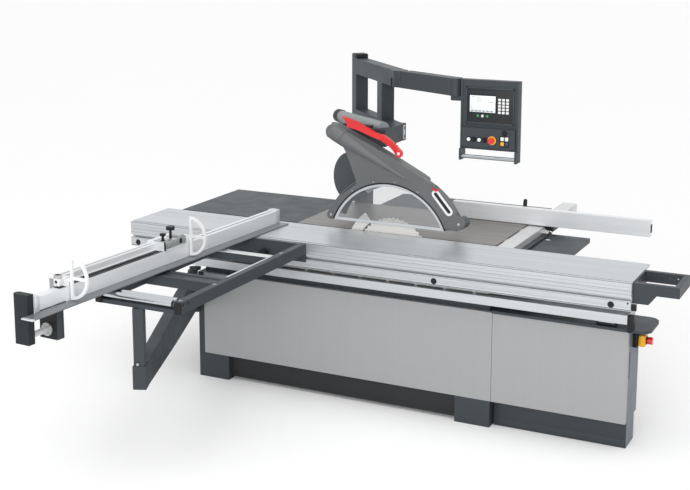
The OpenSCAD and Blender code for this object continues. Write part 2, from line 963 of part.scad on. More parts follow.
module saw_table() {
    rib_z = [iron_z - iron_rib_h, iron_z];
    color(light_grey) {
        span(iron_x, iron_y, [iron_z, table_h]);
        for (x = [iron_x[0], iron_x[1] - iron_rib_t])
            span([x, x + iron_rib_t], [table_post_y[1] + 2 * table_post_side, iron_y[1]], rib_z);
        span(iron_x, [iron_y[1] - iron_rib_t, iron_y[1]], rib_z);
    }
}

// Folded sheet table, open below
module sheet_table(x, y) {
    z = [table_h - ext_h, table_h];
    color(dark_grey) difference() {
        span(x, y, z);
        span(grow(x, -ext_t), grow(y, -ext_t), [z[0] - over, z[1] - ext_t]);
    }
}

module left_extension() {
    sheet_table([iron_x[0] - left_ext_l, iron_x[0]], [iron_gap, iron_gap + left_ext_w]);
}

module rip_extension() {
    sheet_table([rip_ext_x0, iron_x[1]], [iron_y[1], iron_y[1] + rip_ext_w]);
}

module rip_rail() {
    y = [iron_gap, iron_gap + rail_l];
    z = [rail_z1 - rail_h, rail_z1];
    color(white) {
        difference() {
            span([rail_x0, rail_x1], y, z);
            span([rail_x0 + rail_wall, rail_x1 - rail_wall], grow(y, -rail_wall), grow(z, -rail_wall));
        }
        for (s = rail_foot_share)
            span([iron_x[1], rail_x0 + over], from(y[0] + s * rail_l, [0, rail_foot_w]), [iron_z, rail_z1]);
    }
}

module rail_shelf() {
    x = [rail_x1, rail_x1 + shelf_x];
    color(dark_grey) difference() {
        union() {
            span(x, shelf_y, [shelf_z, shelf_z + shelf_t]);
            span([x[0], x[0] + shelf_t], shelf_y, [shelf_z - shelf_edge / 2, shelf_z + shelf_t]);
            span([x[1] - shelf_t, x[1]], shelf_y, [shelf_z - shelf_edge, shelf_z + shelf_t]);
        }
        rod_z([x[0] + shelf_hole[0], shelf_hole[1]], shelf_hole_r,
            grow([shelf_z, shelf_z + shelf_t], over));
    }
}

module guard_column() {
    c = rear_post + column_u * [cos(gantry_angle), sin(gantry_angle)];
    half = column_side / 2;
    color(dark_grey) {
        difference() {
            span(about(c[0], half), about(c[1], half), [column_z0, gantry_low_z]);
            span(about(c[0], half - column_wall), about(c[1], half - column_wall),
                [column_z0 + strut_h, gantry_low_z - column_wall]);
        }
        span(about(c[0], half), [back_y, c[1] - half + over], [column_z0, column_z0 + strut_h]);
    }
}

// Frame along the gantry's rails, from the rear post
module along_gantry() {
    translate([rear_post[0], rear_post[1], 0]) rotate([0, 0, gantry_angle]) children();
}

module gantry_frame() {
    half = post_side / 2;
    tab_z = top_z1 - gantry_rail_h / 2 + fit;
    color(dark_grey) difference() {
        union() {
            along_gantry() {
                span([-half, half], [-half, half], [gantry_low_z, rear_post_top]);
                span(about(front_post_u, half), [-half, half], [gantry_low_z, gantry_top_z + over]);
                span([0, low_rail_l], [-half, half], [gantry_low_z, gantry_low_z + low_rail_h]);
                span([0, gantry_l - knuckle_gap], [-half, half], [gantry_top_z, top_z1]);
                span([0, gantry_l], [-half, half], [tab_z, top_z1]);
            }
            rod_z(arm_hinge, knuckle_r, [tab_z, top_z1]);
            span(cross_x, cross_y, [gantry_low_z, gantry_low_z + low_rail_h]);
            span([bracket_x0, cross_x[0] + over], bracket_y, bracket_z);
        }
        rod_z(arm_hinge, arm_pin_r + run, [gantry_top_z, top_z1 + over]);
        rod_y(guard_pivot, guard_shaft_r + run, grow(bracket_y, over));
    }
}

// Suction pipe, cut away where it lies on the cross arm
module suction_pipe() {
    d = pipe_to - pipe_from;
    a = atan2(d[1], d[0]);
    color(light_grey) difference() {
        translate([pipe_from[0], pipe_from[1], pipe_z]) rotate([0, 0, a]) {
            rod_x([0, 0], pipe_r, [0, norm(d)]);
            rod_x([0, 0], pipe_cap_r, [0, pipe_cap_l]);
        }
        span(grow(cross_x, fit), grow(cross_y, fit), [gantry_low_z, pipe_z]);
    }
}

// The tilt rails and their guides turn about the line where the blade meets the table top
module tilt_ring(r0, r1, from, to, x) {
    slab_x(x) translate([0, table_h]) rotate(-90) ring_part(r0, r1, from, to);
}

module tilt_trunnions() {
    r0 = tilt_r - tilt_rail_w / 2;
    r1 = tilt_r + tilt_rail_w / 2;
    low = tilt_from_angle - tilt_max_angle - trunnion_more_angle;
    high = tilt_to_angle + trunnion_more_angle;
    color(dark_grey) for (side = [0, 1]) {
        x = side == 0 ? from(cradle_x[0] - fit, [-trunnion_t, 0]) : from(cradle_x[1] + fit, [0, trunnion_t]);
        cut = side == 0 ? [x[1] - groove_d, x[1] + over] : [x[0] - over, x[0] + groove_d];
        difference() {
            union() {
                tilt_ring(r0 - trunnion_side, r1 + trunnion_side, low, high, x);
                span(x, hanger_y, [iron_z - hanger_down, iron_z]);
            }
            tilt_ring(r0 - fit, r1 + fit, low - trunnion_more_angle, high + trunnion_more_angle, cut);
        }
    }
}

module saw_cradle() {
    r0 = tilt_r - tilt_rail_w / 2;
    r1 = tilt_r + tilt_rail_w / 2;
    tongue = groove_d - fit;
    color(dark_grey) {
        for (x = [cradle_x[0], cradle_x[1] - cradle_t]) slab_x([x, x + cradle_t])
            polygon(shares(cradle_outline_share, tilt_r, -tilt_r, [0, table_h]));
        tilt_ring(r0, r1, tilt_from_angle, tilt_to_angle, [cradle_x[0] - tongue, cradle_x[0] + over]);
        tilt_ring(r0, r1, tilt_from_angle, tilt_to_angle, [cradle_x[1] - over, cradle_x[1] + tongue]);
        span(cradle_x, cradle_y, cradle_z);
        span([cradle_x[0], guide_posts_x[0] + sleeve_r], cradle_cap_y, cradle_cap_z);
        span([guide_posts_x[1] - sleeve_r, cradle_x[1]], cradle_cap_y, cradle_cap_z);
        for (x = guide_posts_x) rod_z([x, guide_y], guide_post_r, [cradle_z[0], cradle_cap_z[1]]);
    }
}

module lift_carriage() {
    arbor = [arbor_x, arbor_z];
    motor = [motor_x, motor_z];
    color(mid_grey) difference() {
        union() {
            span(carriage_x, carriage_y, carriage_z);
            span(about(arbor_x, housing_r), carriage_y, [carriage_z[0], arbor_z]);
            rod_y(arbor, housing_r, housing_y);
            for (x = guide_posts_x) {
                rod_z([x, guide_y], sleeve_r, sleeve_z);
                span(about(x, sleeve_r / 2), [guide_y, carriage_y[1]], sleeve_z);
            }
            span(knife_foot, [knife_t / 2, carriage_y[1]], knife_foot_z);
        }
        rod_y(arbor, arbor_r + run, grow(housing_y, over));
        rod_y(motor, shaft_r + run, grow(carriage_y, over));
        for (x = guide_posts_x) rod_z([x, guide_y], guide_post_r + run, grow(sleeve_z, over));
    }
}

module saw_motor() {
    color(dark_grey) difference() {
        rod_y([motor_x, motor_z], motor_r, [motor_y1 - motor_l, motor_y1]);
        rod_y([motor_x, motor_z], shaft_r + run, [motor_y1 - motor_l / 4, motor_y1 + over]);
    }
}

module saw_arbor() {
    c = [arbor_x, arbor_z];
    color(silver) {
        rod_y(c, arbor_r, [blade_t / 2, pulley_y[1]]);
        rod_y(c, flange_r, [blade_t / 2, blade_t / 2 + flange_t]);
        rod_y(c, nut_r, [-blade_t / 2 - nut_t, -blade_t / 2]);
        rod_y(c, arbor_r / 2, [-blade_t / 2 - nut_t, blade_t]);
        rod_y(c, pulley_r, pulley_y);
    }
}

module saw_blade() {
    color(silver) slab_y([-blade_t / 2, blade_t / 2]) translate([arbor_x, arbor_z]) difference() {
        circle(blade_r);
        circle(arbor_r / 2 + fit);
        for (i = [0 : tooth_count - 1]) rotate(i * 360 / tooth_count) translate([blade_r, 0]) circle(tooth_r);
    }
}

module motor_pulley() {
    c = [motor_x, motor_z];
    color(silver) {
        rod_y(c, pulley_r, pulley_y);
        rod_y(c, shaft_r, [motor_y1 - motor_l / 5, pulley_y[1]]);
    }
}

module drive_belt() {
    d = [motor_x - arbor_x, motor_z - arbor_z];
    l = norm(d);
    r = pulley_r + fit;
    color(black) slab_y(grow(pulley_y, -belt_in)) translate([arbor_x, arbor_z]) rotate(atan2(d[1], d[0]))
        difference() {
            stadium(l, r + belt_t);
            stadium(l, r);
        }
}

// Two circles and the strip between them
module stadium(l, r) {
    circle(r);
    translate([l, 0]) circle(r);
    area([0, l], [-r, r]);
}

module riving_knife() {
    r0 = blade_r + knife_in;
    color(silver) slab_y([-knife_t / 2, knife_t / 2]) intersection() {
        translate([arbor_x, arbor_z]) ring_part(r0, r0 + knife_w, knife_from_angle, knife_to_angle);
        area([arbor_x - 2 * r0, arbor_x], [knife_foot_z[0], table_h + knife_top]);
    }
}

module guard_hood() {
    r1 = hood_r + hood_band;
    color(mid_grey) {
        for (y = [[hood_y0, hood_y0 + hood_side_t], [hood_y1 - hood_side_t, hood_y1]]) {
            slab_y(y) intersection() {
                translate(hood_c) difference() {
                    circle(r1);
                    circle(hood_r);
                }
                area(about(hood_c[0], r1), [table_h + hood_clear, hood_c[1] + r1]);
            }
        }
        slab_y([hood_y0, hood_y1]) translate(hood_c)
            ring_part(r1 - roof_t, r1, roof_from_angle, 180 - roof_from_angle);
        slab_y(arm_y) polygon(shares(arm_share, guard_arm_l, guard_arm_h, guard_pivot));
        slab_y(lug_y) polygon(shares(lever_lug_share, guard_arm_l, guard_arm_h, guard_pivot));
        rod_y(guard_pivot, guard_cap_r, [hood_y0 - guard_cap_t, arm_y[1]]);
        rod_y(guard_pivot, guard_shaft_r, [hood_y0, bracket_y[1] + guard_cap_t]);
        rod_y(lever_pivot, lever_pin_r, [lug_y[0], lever_y[1]]);
        rod_y(chute_c, chute_r, [hood_y1, hood_y1 + chute_t]);
        slab_y([hood_y0, hood_y0 + wide_t]) translate(hood_c)
            ring_part(r1 - over, wide_r, wide_angles[0], wide_angles[1]);
        for (off = boss_offs) rod_y(hood_c + off, boss_r, [hood_y0 - boss_t / 2, hood_y0 + boss_t / 2]);
    }
}

module guard_window() {
    r = hood_r - fit;
    color("#dfe8ec", 0.4) for (y = [hood_y0 + window_in, hood_y1 - window_in - window_t])
        slab_y([y, y + window_t]) intersection() {
            translate(hood_c) circle(r);
            area(about(hood_c[0], r), [table_h + hood_clear, hood_c[1] + r]);
        }
}

module guard_lever() {
    l = norm(lever_reach);
    a = atan2(lever_reach[1], lever_reach[0]);
    color(red) slab_y(lever_y) translate(lever_pivot) rotate(a) difference() {
        union() {
            circle(lever_hub_r);
            translate([l, 0]) circle(lever_tip_r);
            polygon(shares(lever_share, l, l));
        }
        circle(lever_pin_r + run);
        translate([l, 0]) circle(lever_hole_r);
    }
}

module panel_arm() {
    d = panel_pin - arm_hinge;
    half = panel_arm_w / 2;
    z = [gantry_top_z, top_z1];
    tab_z1 = top_z1 - gantry_rail_h / 2;
    color(dark_grey) {
        translate([arm_hinge[0], arm_hinge[1], 0]) rotate([0, 0, atan2(d[1], d[0])]) {
            span([knuckle_gap, norm(d)], [-half, half], z);
            span([0, knuckle_gap + over], [-half, half], [z[0], tab_z1]);
        }
        rod_z(arm_hinge, knuckle_r, [z[0], tab_z1]);
        rod_z(arm_hinge, arm_pin_r, [z[0], z[1]]);
        rod_z(panel_pin, panel_boss_r, z);
        rod_z(panel_pin, panel_pin_r, [panel_lug_z[0], z[0] + over]);
    }
}

panel_x1 = panel_x0 + panel_w;
button_z = panel_z0 + button_rise;
deck_y0 = panel_y0 - deck_t;

module control_panel() {
    color(dark_grey) difference() {
        union() {
            span([panel_x0, panel_x1], [panel_y0, panel_y0 + panel_d], [panel_z0, panel_z1]);
            for (x = [panel_x0, panel_x1 - cheek_t])
                span([x, x + cheek_t], [cheek_y0, panel_y0 + panel_d],
                    [panel_z0 - cheek_down, panel_z0 + over]);
            span(grow([panel_x0, panel_x1], -deck_in), [deck_y0, panel_y0 + over], from(panel_z0, deck_z));
            span([panel_pin[0], panel_x0 + over], about(panel_pin[1], panel_lug_half), panel_lug_z);
            rod_z(panel_pin, panel_lug_r, panel_lug_z);
        }
        rod_z(panel_pin, panel_pin_r + run, grow(panel_lug_z, over));
        for (s = button_shares)
            rod_y([panel_x0 + s * panel_w, button_z], button_r + fit,
                [deck_y0 - over, deck_y0 + button_l - button_out + button_deep]);
        rod_y([panel_x0 + panel_estop_share * panel_w, button_z], panel_estop_neck_r + fit,
            [deck_y0 - over, deck_y0 + button_l]);
    }
}

module panel_handle() {
    color(silver) rod_x([panel_handle_c[0], panel_z0 + panel_handle_c[1]], panel_handle_r,
        [panel_x0 + cheek_t, panel_x1 - cheek_t]);
}

module push_button(i, tint) {
    color(tint) rod_y([panel_x0 + button_shares[i] * panel_w, button_z], button_r,
        from(deck_y0 - button_out, [0, button_l]));
}

module saw_start_button() {
    push_button(0, white);
}

module saw_stop_button() {
    push_button(1, black);
}

module aux_start_button() {
    push_button(2, white);
}

module aux_stop_button() {
    push_button(3, black);
}

module panel_estop() {
    c = [panel_x0 + panel_estop_share * panel_w, button_z];
    y1 = deck_y0 - panel_estop_gap;
    color(red) {
        rod_y(c, panel_estop_r, [y1 - panel_estop_head, y1]);
        rod_y(c, panel_estop_neck_r, [y1 - over, deck_y0 + button_l - button_deep]);
    }
}

module outrigger_bracket() {
    y = [rig_y1, slide_y0 - fit];
    z = slide_z0 + slot_rise;
    neck = slot_mouth / 2 - nut_fit;
    head = slot_head / 2 - nut_fit;
    color(dark_grey) difference() {
        union() {
            span([rig_x0, rig_x1], y, rig_plate_z);
            span(nut_x, [y[1] - over, slide_y0 + slot_lip + 2 * nut_fit], about(z, neck));
            span(nut_x, from(slide_y0, [slot_lip + nut_fit, slot_depth - nut_fit]), about(z, head));
        }
        rod_y([knob_x, knob_z], knob_stem_r + run, [y[0] - over, slide_y0]);
    }
}

module outrigger_knob() {
    color(black) {
        rod_y([knob_x, knob_z], knob_r, from(rig_y1 - knob_neck, [-knob_l, 0]));
        rod_y([knob_x, knob_z], knob_stem_r, [rig_y1 - knob_neck - over, slide_y0 - fit]);
    }
}

module outrigger_frame() {
    inner = [rig_x0 + rig_tube_w - over, rig_x1 - rig_tube_w + over];
    bar_z = [rig_z0 + bar_up, rig_z1 - bar_drop];
    color(dark_grey) difference() {
        union() {
            for (x = [rig_x0, rig_x1 - rig_tube_w])
                span([x, x + rig_tube_w], [rig_y0, rig_y1], [rig_z0, rig_z1]);
            span(inner, bar_a, bar_z);
            span(inner, bar_b, bar_z);
            span(inner, [rig_y0, rig_y0 + x_tube_w], [rig_z0, rig_z0 + x_tube_h]);
            span([rig_x0 + rig_tube_w - over, pad_x1], [pad_y0, rig_y1], [rig_z1 - pad_t, rig_z1]);
            rod_z(fence_pivot, fence_boss_r, [rig_z1 - over, base_z]);
            rod_z(fence_pivot, fence_pin_r, [rig_z1 - over, base_z1 + fence_pin_top]);
        }
        for (y = load_y) rod_x([y, load_z], load_pin_r + run, [rig_x0 - over, rig_x1 + over]);
    }
}

// Load roller with its pins
module load_roller(y) {
    color(silver) {
        rod_x([y, load_z], load_r, [rig_x0 + rig_tube_w + load_gap, rig_x1 - rig_tube_w - load_gap]);
        rod_x([y, load_z], load_pin_r, [rig_x0 + load_pin_in, rig_x1 - load_pin_in]);
    }
}

module load_roller_outer() {
    load_roller(load_y[0]);
}

module load_roller_inner() {
    load_roller(load_y[1]);
}

// Frame of the crosscut fence at its pivot
module along_fence() {
    translate([fence_pivot[0], fence_pivot[1], 0]) rotate([0, 0, -fence_angle]) children();
}

// Raised rail along the back of the fence, with its own slot
module fence_rail() {
    x = [-fence_w / 2 - fence_rail_w, -fence_w / 2 - fit];
    top_x = [x[0], x[1] - fence_rail_step];
    y = [-fence_out, clamp_y[0] - fit];
    z1 = fence_z1 + fence_rail_rise;
    mid = (top_x[0] + top_x[1]) / 2;
    difference() {
        slab_y(y) {
            area(x, [base_z1, fence_z1]);
            area(top_x, [base_z1, z1]);
        }
        span(grow(top_x, -fence_wall), grow(y, over), [base_z1 + fence_wall, z1 - 2 * fence_wall]);
        span(about(mid, fence_slot / 2), grow(y, over), [z1 - 3 * fence_wall, z1 + over]);
    }
}

module crosscut_fence() {
    half = fence_w / 2;
    color(silver) along_fence() fence_rail();
    color(silver) along_fence() difference() {
        union() {
            span([-half, half], [-fence_out, fence_in], [base_z1, fence_z1]);
            span(clamp_x, clamp_y, [fence_z1 + fit, fence_z1 + clamp_h]);
        }
        span([-half + fence_wall, half - fence_wall], [-fence_out - over, fence_in - fence_wall],
            [base_z1 + fence_wall, fence_z1 - fence_wall]);
        for (y = [[-fence_out - over, clamp_y[0]], [clamp_y[1], fence_in - fence_wall]])
            span([-fence_slot / 2, fence_slot / 2], y, [fence_z1 - 2 * fence_wall, fence_z1 + over]);
        rod_z([0, 0], fence_pin_r + run, [base_z1 - over, base_z1 + fence_wall + over]);
        rod_z([0, clamp_mid], clamp_stem_r + run, [fence_z1 - 2 * fence_wall, fence_z1 + clamp_h + over]);
    }
}

module fence_base() {
    half = fence_w / 2;
    plate_y0 = bearing_y[0] - tube_flange_t;
    color(mid_grey) along_fence() difference() {
        union() {
            span([-half, base_front], [plate_y0, fence_in - fence_wall], [base_z, base_z1]);
            span([-half - fence_rail_w, -half + over], [plate_y0, clamp_y[1]], [base_z, base_z1]);
            span([end_x[1] + base_gap, base_front], [-fence_out - base_more, plate_y0 + over],
                [base_z, base_z1]);
            span(bearing_x, bearing_y, [bearing_z0, base_z + over]);
            rod_y([tube_x, guide_z], tube_flange_r, from(bearing_y[0], [-tube_flange_t, over]));
        }
        rod_z([0, 0], fence_pin_r + run, grow([base_z, base_z1], over));
        rod_y([tube_x, guide_z], guide_r + run, [bearing_y[0] - tube_flange_t - over, bearing_y[1] + over]);
    }
}

clamp_mid = (clamp_y[0] + clamp_y[1]) / 2;

module clamp_knob() {
    z = fence_z1 + clamp_h;
    color(black) along_fence() {
        rod_z([0, clamp_mid], clamp_stem_r, [fence_z1 - fence_wall / 2, z + clamp_stem_h]);
        rod_z([0, clamp_mid], clamp_knob_r, from(z + clamp_stem_h, [0, clamp_knob_h]));
    }
}

module fence_extension() {
    half = fence_w / 2 - fence_wall - ext_fit;
    color(silver) along_fence()
        span([-half, half], [end_y1, -fence_out + ext_in],
            [base_z1 + fence_wall + ext_fit, fence_z1 - fence_wall - ext_fit]);
}

module extension_end_block() {
    y = [end_y1 - end_t, end_y1];
    color(black) along_fence() translate([0, 0, end_z[0]]) linear_extrude(end_z[1] - end_z[0]) {
        area([end_x[0] + end_corner, end_x[1]], y);
        area([end_x[0], end_x[1]], [y[0] + end_corner, y[1] - end_corner]);
        for (c = [y[0] + end_corner, y[1] - end_corner])
            translate([end_x[0] + end_corner, c]) circle(end_corner);
    }
}

module guide_tube() {
    color(silver) along_fence() rod_y([tube_x, guide_z], guide_r, [end_y1, bearing_y[1] + tube_in]);
}

// Slide of a flip stop, riding in the fence's top slot
module stop_slide(i) {
    z = fence_z1 + fit;
    ear_y = flag_t / 2 + flag_gap;
    color(white) along_fence() translate([0, stop_y[i], 0]) {
        span([-fence_w / 2, fence_w / 2], [-stop_half, stop_half], [z, z + stop_t - over]);
        span(about(0, fence_slot / 2 - fit), [-stop_half, stop_half], [fence_z1 - fence_wall, z + over]);
        for (s = [-1, 1]) {
            y = s < 0 ? [-stop_half, -ear_y] : [ear_y, stop_half];
            span(from(stop_pin[0], [-ear_w / 2, ear_w / 2 - 2 * fit]), y, [z, z + ear_h]);
        }
        rod_y([stop_pin[0], z + stop_pin[1]], stop_pin_r, [-stop_half, stop_half]);
    }
}

module stop_slide_inner() {
    stop_slide(0);
}

module stop_slide_outer() {
    stop_slide(1);
}

// Half-round flip stop: rim, straight edge, spoke and hub
module stop_flag(i) {
    pin = [stop_pin[0], fence_z1 + fit + stop_pin[1]];
    c = [flag_x, base_z1 + flag_rise];
    color(white) along_fence() translate([0, stop_y[i], 0]) slab_y([-flag_t / 2, flag_t / 2]) difference() {
        union() {
            intersection() {
                translate(c) difference() {
                    circle(flag_r);
                    circle(flag_r - flag_rim);
                }
                area([c[0], c[0] + flag_r], about(c[1], flag_r));
            }
            area([c[0], c[0] + flag_rim], about(c[1], flag_r - flag_rim / 2));
            area([c[0], c[0] + flag_r - flag_rim / 2], about(c[1], flag_rim / 2));
            translate(pin) circle(flag_hub_r);
            area([pin[0], c[0] + over], about(pin[1], flag_hub_r));
        }
        translate(pin) circle(stop_pin_r + run);
    }
}

module stop_flag_inner() {
    stop_flag(0);
}

module stop_flag_outer() {
    stop_flag(1);
}

// Frame of the swing arm at its hinge
module along_boom() {
    translate([hinge[0], hinge[1], 0]) rotate([0, 0, -boom_angle]) children();
}

module swing_arm() {
    half = boom_t / 2;
    h = barrel_z[1] - barrel_z[0];
    color(dark_grey) along_boom() difference() {
        union() {
            rod_z([0, 0], barrel_r, barrel_z);
            slab_y([-half, half])
                polygon(shares(boom_share, boom_l - boom_root, h, [boom_root, barrel_z[0]]));
        }
        rod_z([0, 0], hinge_pin_r + run, grow(barrel_z, over));
        span([sleeve_from, boom_l + over], [-half + inner_wall, half - inner_wall], inner_z);
        slab_y([-half + inner_wall, half - inner_wall])
            polygon(shares(boom_core_share, boom_l, h, [0, barrel_z[0]]));
    }
}

module support_post() {
    half = boom_t / 2 - inner_wall - inner_fit;
    x0 = boom_l + leg_gap;
    color(dark_grey) along_boom() {
        span([inner_from, x0 + over], [-half, half], grow(inner_z, -inner_fit));
        span([x0, x0 + leg_side], [-leg_side / 2, leg_side / 2], leg_z);
        span([x0 - leg_block_more + over, x0 + leg_side + leg_block_more],
            [-leg_side / 2 - leg_block_more, leg_side / 2 + leg_block_more], [leg_z[0], leg_block_z]);
    }
}

rip_z1 = rip_z0 + rip_h;
carrier_yy = from(rip_y, carrier_y);
rip_back = rip_y + rip_t;

module rip_carrier() {
    up_y = [carrier_yy[0], carrier_yy[0] + carrier_up_t];
    nut_z = from(rip_z0, rip_slot_rise);
    ear_x = [rip_lever_x[1] + fit, rip_lever_x[1] + fit + rip_ear_t];
    color(black) difference() {
        union() {
            span(carrier_x, carrier_yy, carrier_z);
            span([rail_x0 + over, rail_x1 - over], carrier_yy, [rail_z1 + fit, carrier_z[0] + over]);
            span([rail_x1 + fit, rail_x1 + fit + carrier_lip_t], carrier_yy, [carrier_lip_z, carrier_z[1]]);
            span(carrier_up_x, up_y, [carrier_z[0], carrier_z[1] + carrier_up_h]);
            span(carrier_up_x, [rip_back - rip_slot_lip - nut_fit, up_y[0] + over], grow(nut_z, -nut_fit));
            span(carrier_up_x, from(rip_back, [nut_fit - rip_slot_d, -rip_slot_lip - nut_fit]),
                grow(nut_z, rip_slot_head - nut_fit));
            span(ear_x, [up_y[0], rip_lever_c[0] + rip_lever_hub_r],
                [carrier_z[0], rip_lever_c[1] + rip_lever_hub_r]);
            rod_x(rip_lever_c, rip_lever_pin_r, [rip_lever_x[0], ear_x[0] + over]);
        }
        rod_x(rip_knob_c, rip_stem_r + run, [carrier_x[1] - 2 * rip_knob_l, carrier_x[1] + over]);
    }
}

module rip_fence() {
    nut_z = from(rip_z0, rip_slot_rise);
    color(silver) slab_x([rip_x0, rip_x0 + rip_l]) difference() {
        area([rip_y, rip_back], [rip_z0, rip_z1]);
        area([rip_back - rip_slot_lip - over, rip_back + over], nut_z);
        area([rip_back - rip_slot_d, rip_back - rip_slot_lip], grow(nut_z, rip_slot_head));
    }
}

module rip_lever() {
    color(black) slab_x(rip_lever_x) translate(rip_lever_c) difference() {
        union() {
            circle(rip_lever_hub_r);
            rotate(rip_lever_angle) area([-rip_lever_w / 2, rip_lever_w / 2], [0, rip_lever_l]);
        }
        circle(rip_lever_pin_r + run);
    }
}

module rip_knob() {
    x = carrier_x[1] + rip_knob_neck;
    color(silver) {
        rod_x(rip_knob_c, rip_knob_r, [x, x + rip_knob_l]);
        rod_x(rip_knob_c, rip_stem_r, [carrier_x[1] - rip_knob_l, x + over]);
    }
}

stand_frame();
front_panel_left();
front_panel_right();
infeed_cabinet();
side_tray();
estop_housing();
slide_beam();
saw_table();
left_extension();
rip_extension();
rip_rail();
rail_shelf();
guard_column();
gantry_frame();
tilt_trunnions();
suction_pipe();
roller_cage();
sliding_table();
push_handle();
outrigger_frame();
outrigger_bracket();
outrigger_knob();
load_roller_outer();
load_roller_inner();
crosscut_fence();
fence_base();
clamp_knob();
fence_extension();
extension_end_block();
guide_tube();
stop_slide_inner();
stop_flag_inner();
stop_slide_outer();
stop_flag_outer();
swing_arm();
support_post();
rip_carrier();
rip_fence();
rip_lever();
rip_knob();
saw_cradle();
lift_carriage();
saw_motor();
saw_arbor();
saw_blade();
motor_pulley();
drive_belt();
riving_knife();
guard_hood();
guard_window();
guard_lever();
panel_arm();
control_panel();
panel_handle();
saw_start_button();
saw_stop_button();
aux_start_button();
aux_stop_button();
panel_estop();
cabinet_estop();
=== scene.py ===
"""Sliding table saw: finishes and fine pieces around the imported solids. Metres, +Z up."""
import json
import math

import bmesh
import bpy
from mathutils import Matrix, Vector


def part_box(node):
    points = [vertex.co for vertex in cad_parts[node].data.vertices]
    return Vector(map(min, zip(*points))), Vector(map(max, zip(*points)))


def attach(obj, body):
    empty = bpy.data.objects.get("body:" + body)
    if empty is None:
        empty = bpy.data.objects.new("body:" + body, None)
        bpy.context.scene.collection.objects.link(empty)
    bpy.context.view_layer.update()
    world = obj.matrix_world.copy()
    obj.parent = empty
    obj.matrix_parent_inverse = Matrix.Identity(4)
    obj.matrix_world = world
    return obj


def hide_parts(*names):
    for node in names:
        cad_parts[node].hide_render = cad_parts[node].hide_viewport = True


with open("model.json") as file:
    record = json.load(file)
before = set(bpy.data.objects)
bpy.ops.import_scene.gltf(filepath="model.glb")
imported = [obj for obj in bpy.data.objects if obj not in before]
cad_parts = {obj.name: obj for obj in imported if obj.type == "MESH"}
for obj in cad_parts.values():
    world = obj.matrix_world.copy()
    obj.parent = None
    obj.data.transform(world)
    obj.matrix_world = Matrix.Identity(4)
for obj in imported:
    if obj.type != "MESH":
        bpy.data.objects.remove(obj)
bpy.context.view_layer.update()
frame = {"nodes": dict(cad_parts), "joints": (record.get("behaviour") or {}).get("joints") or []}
nodes = frame["nodes"]
joints = {joint["name"]: joint for joint in frame["joints"]}

# Pieces are drawn in millimetres and brought to metres when they are made
MM = 0.001
SMOOTH_ANGLE = math.radians(38)


def srgb(r, g, b):
    """A colour as a picture shows it, from 0 to 255, as the linear colour that shaders take."""
    return tuple(((c / 255 + 0.055) / 1.055) ** 2.4 for c in (r, g, b)) + (1.0,)


# Colours
DARK = srgb(58, 64, 69)
CABINET = srgb(106, 115, 124)
PANEL = srgb(162, 163, 165)
ALU = srgb(197, 200, 203)
# Fences: a lighter copy of the aluminium, painted light for faces the lamps leave darker
LIT_FENCE_ALU = srgb(234, 236, 238)
BASE_ALU = srgb(128, 132, 135)
ZINC = srgb(172, 175, 176)
RAIL = srgb(216, 217, 218)
IRON = srgb(136, 133, 131)
STEEL = srgb(190, 190, 188)
BLADE = srgb(236, 234, 230)
CHROME = srgb(172, 176, 180)
ROLLER = srgb(200, 203, 206)
GUARD = srgb(100, 102, 104)
CHUTE = srgb(72, 79, 82)
BLACK = srgb(28, 29, 31)
SOFT_BLACK = srgb(44, 46, 48)
END_GREY = srgb(41, 45, 47)
# Painted shade for the grooves on the sliding table's front
GROOVE_SHADE = srgb(92, 95, 98)
WHITE = srgb(236, 236, 236)
RIM = srgb(198, 201, 204)
PIPE = srgb(142, 145, 147)
RED = srgb(224, 34, 36)
YELLOW = srgb(246, 178, 14)
GREEN = srgb(40, 150, 96)
BLUE = srgb(44, 60, 104)
SCREEN = srgb(238, 243, 245)
INK = srgb(150, 160, 168)
CLEAR = srgb(176, 180, 184)
RUBBER = srgb(26, 26, 27)
FLOOR = srgb(250, 250, 250)


# Materials

def start(name, rough, metallic=0.0):
    """A new material with its shader, ready for textures."""
    mat = bpy.data.materials.new(name)
    mat.use_nodes = True
    tree = mat.node_tree
    shader = tree.nodes["Principled BSDF"]
    shader.inputs["Metallic"].default_value = metallic
    shader.inputs["Roughness"].default_value = rough
    return mat, tree, shader


def noise(tree, scale, detail=3.0, stretch=(1.0, 1.0, 1.0)):
    """Noise over the object's own coordinates, stretched along an axis where its scale is small."""
    coords = tree.nodes.new("ShaderNodeTexCoord")
    mapping = tree.nodes.new("ShaderNodeMapping")
    mapping.inputs["Scale"].default_value = stretch
    texture = tree.nodes.new("ShaderNodeTexNoise")
    texture.inputs["Scale"].default_value = scale
    texture.inputs["Detail"].default_value = detail
    tree.links.new(coords.outputs["Object"], mapping.inputs["Vector"])
    tree.links.new(mapping.outputs["Vector"], texture.inputs["Vector"])
    return texture.outputs["Fac"]


def remap(tree, value, low, high, low_in=0.3, high_in=0.7):
    """A texture's value brought to another range."""
    node = tree.nodes.new("ShaderNodeMapRange")
    node.inputs["From Min"].default_value = low_in
    node.inputs["From Max"].default_value = high_in
    node.inputs["To Min"].default_value = low
    node.inputs["To Max"].default_value = high
    tree.links.new(value, node.inputs["Value"])
    return node.outputs["Result"]


def shade(tree, colour, value):
    """A colour made lighter or darker by a value about 1."""
    node = tree.nodes.new("ShaderNodeMix")
    node.data_type = "RGBA"
    node.blend_type = "MULTIPLY"
    node.inputs["Factor"].default_value = 1.0
    if isinstance(colour, tuple):
        node.inputs[6].default_value = colour
    else:
        tree.links.new(colour, node.inputs[6])
    tree.links.new(value, node.inputs[7])
    return node.outputs[2]


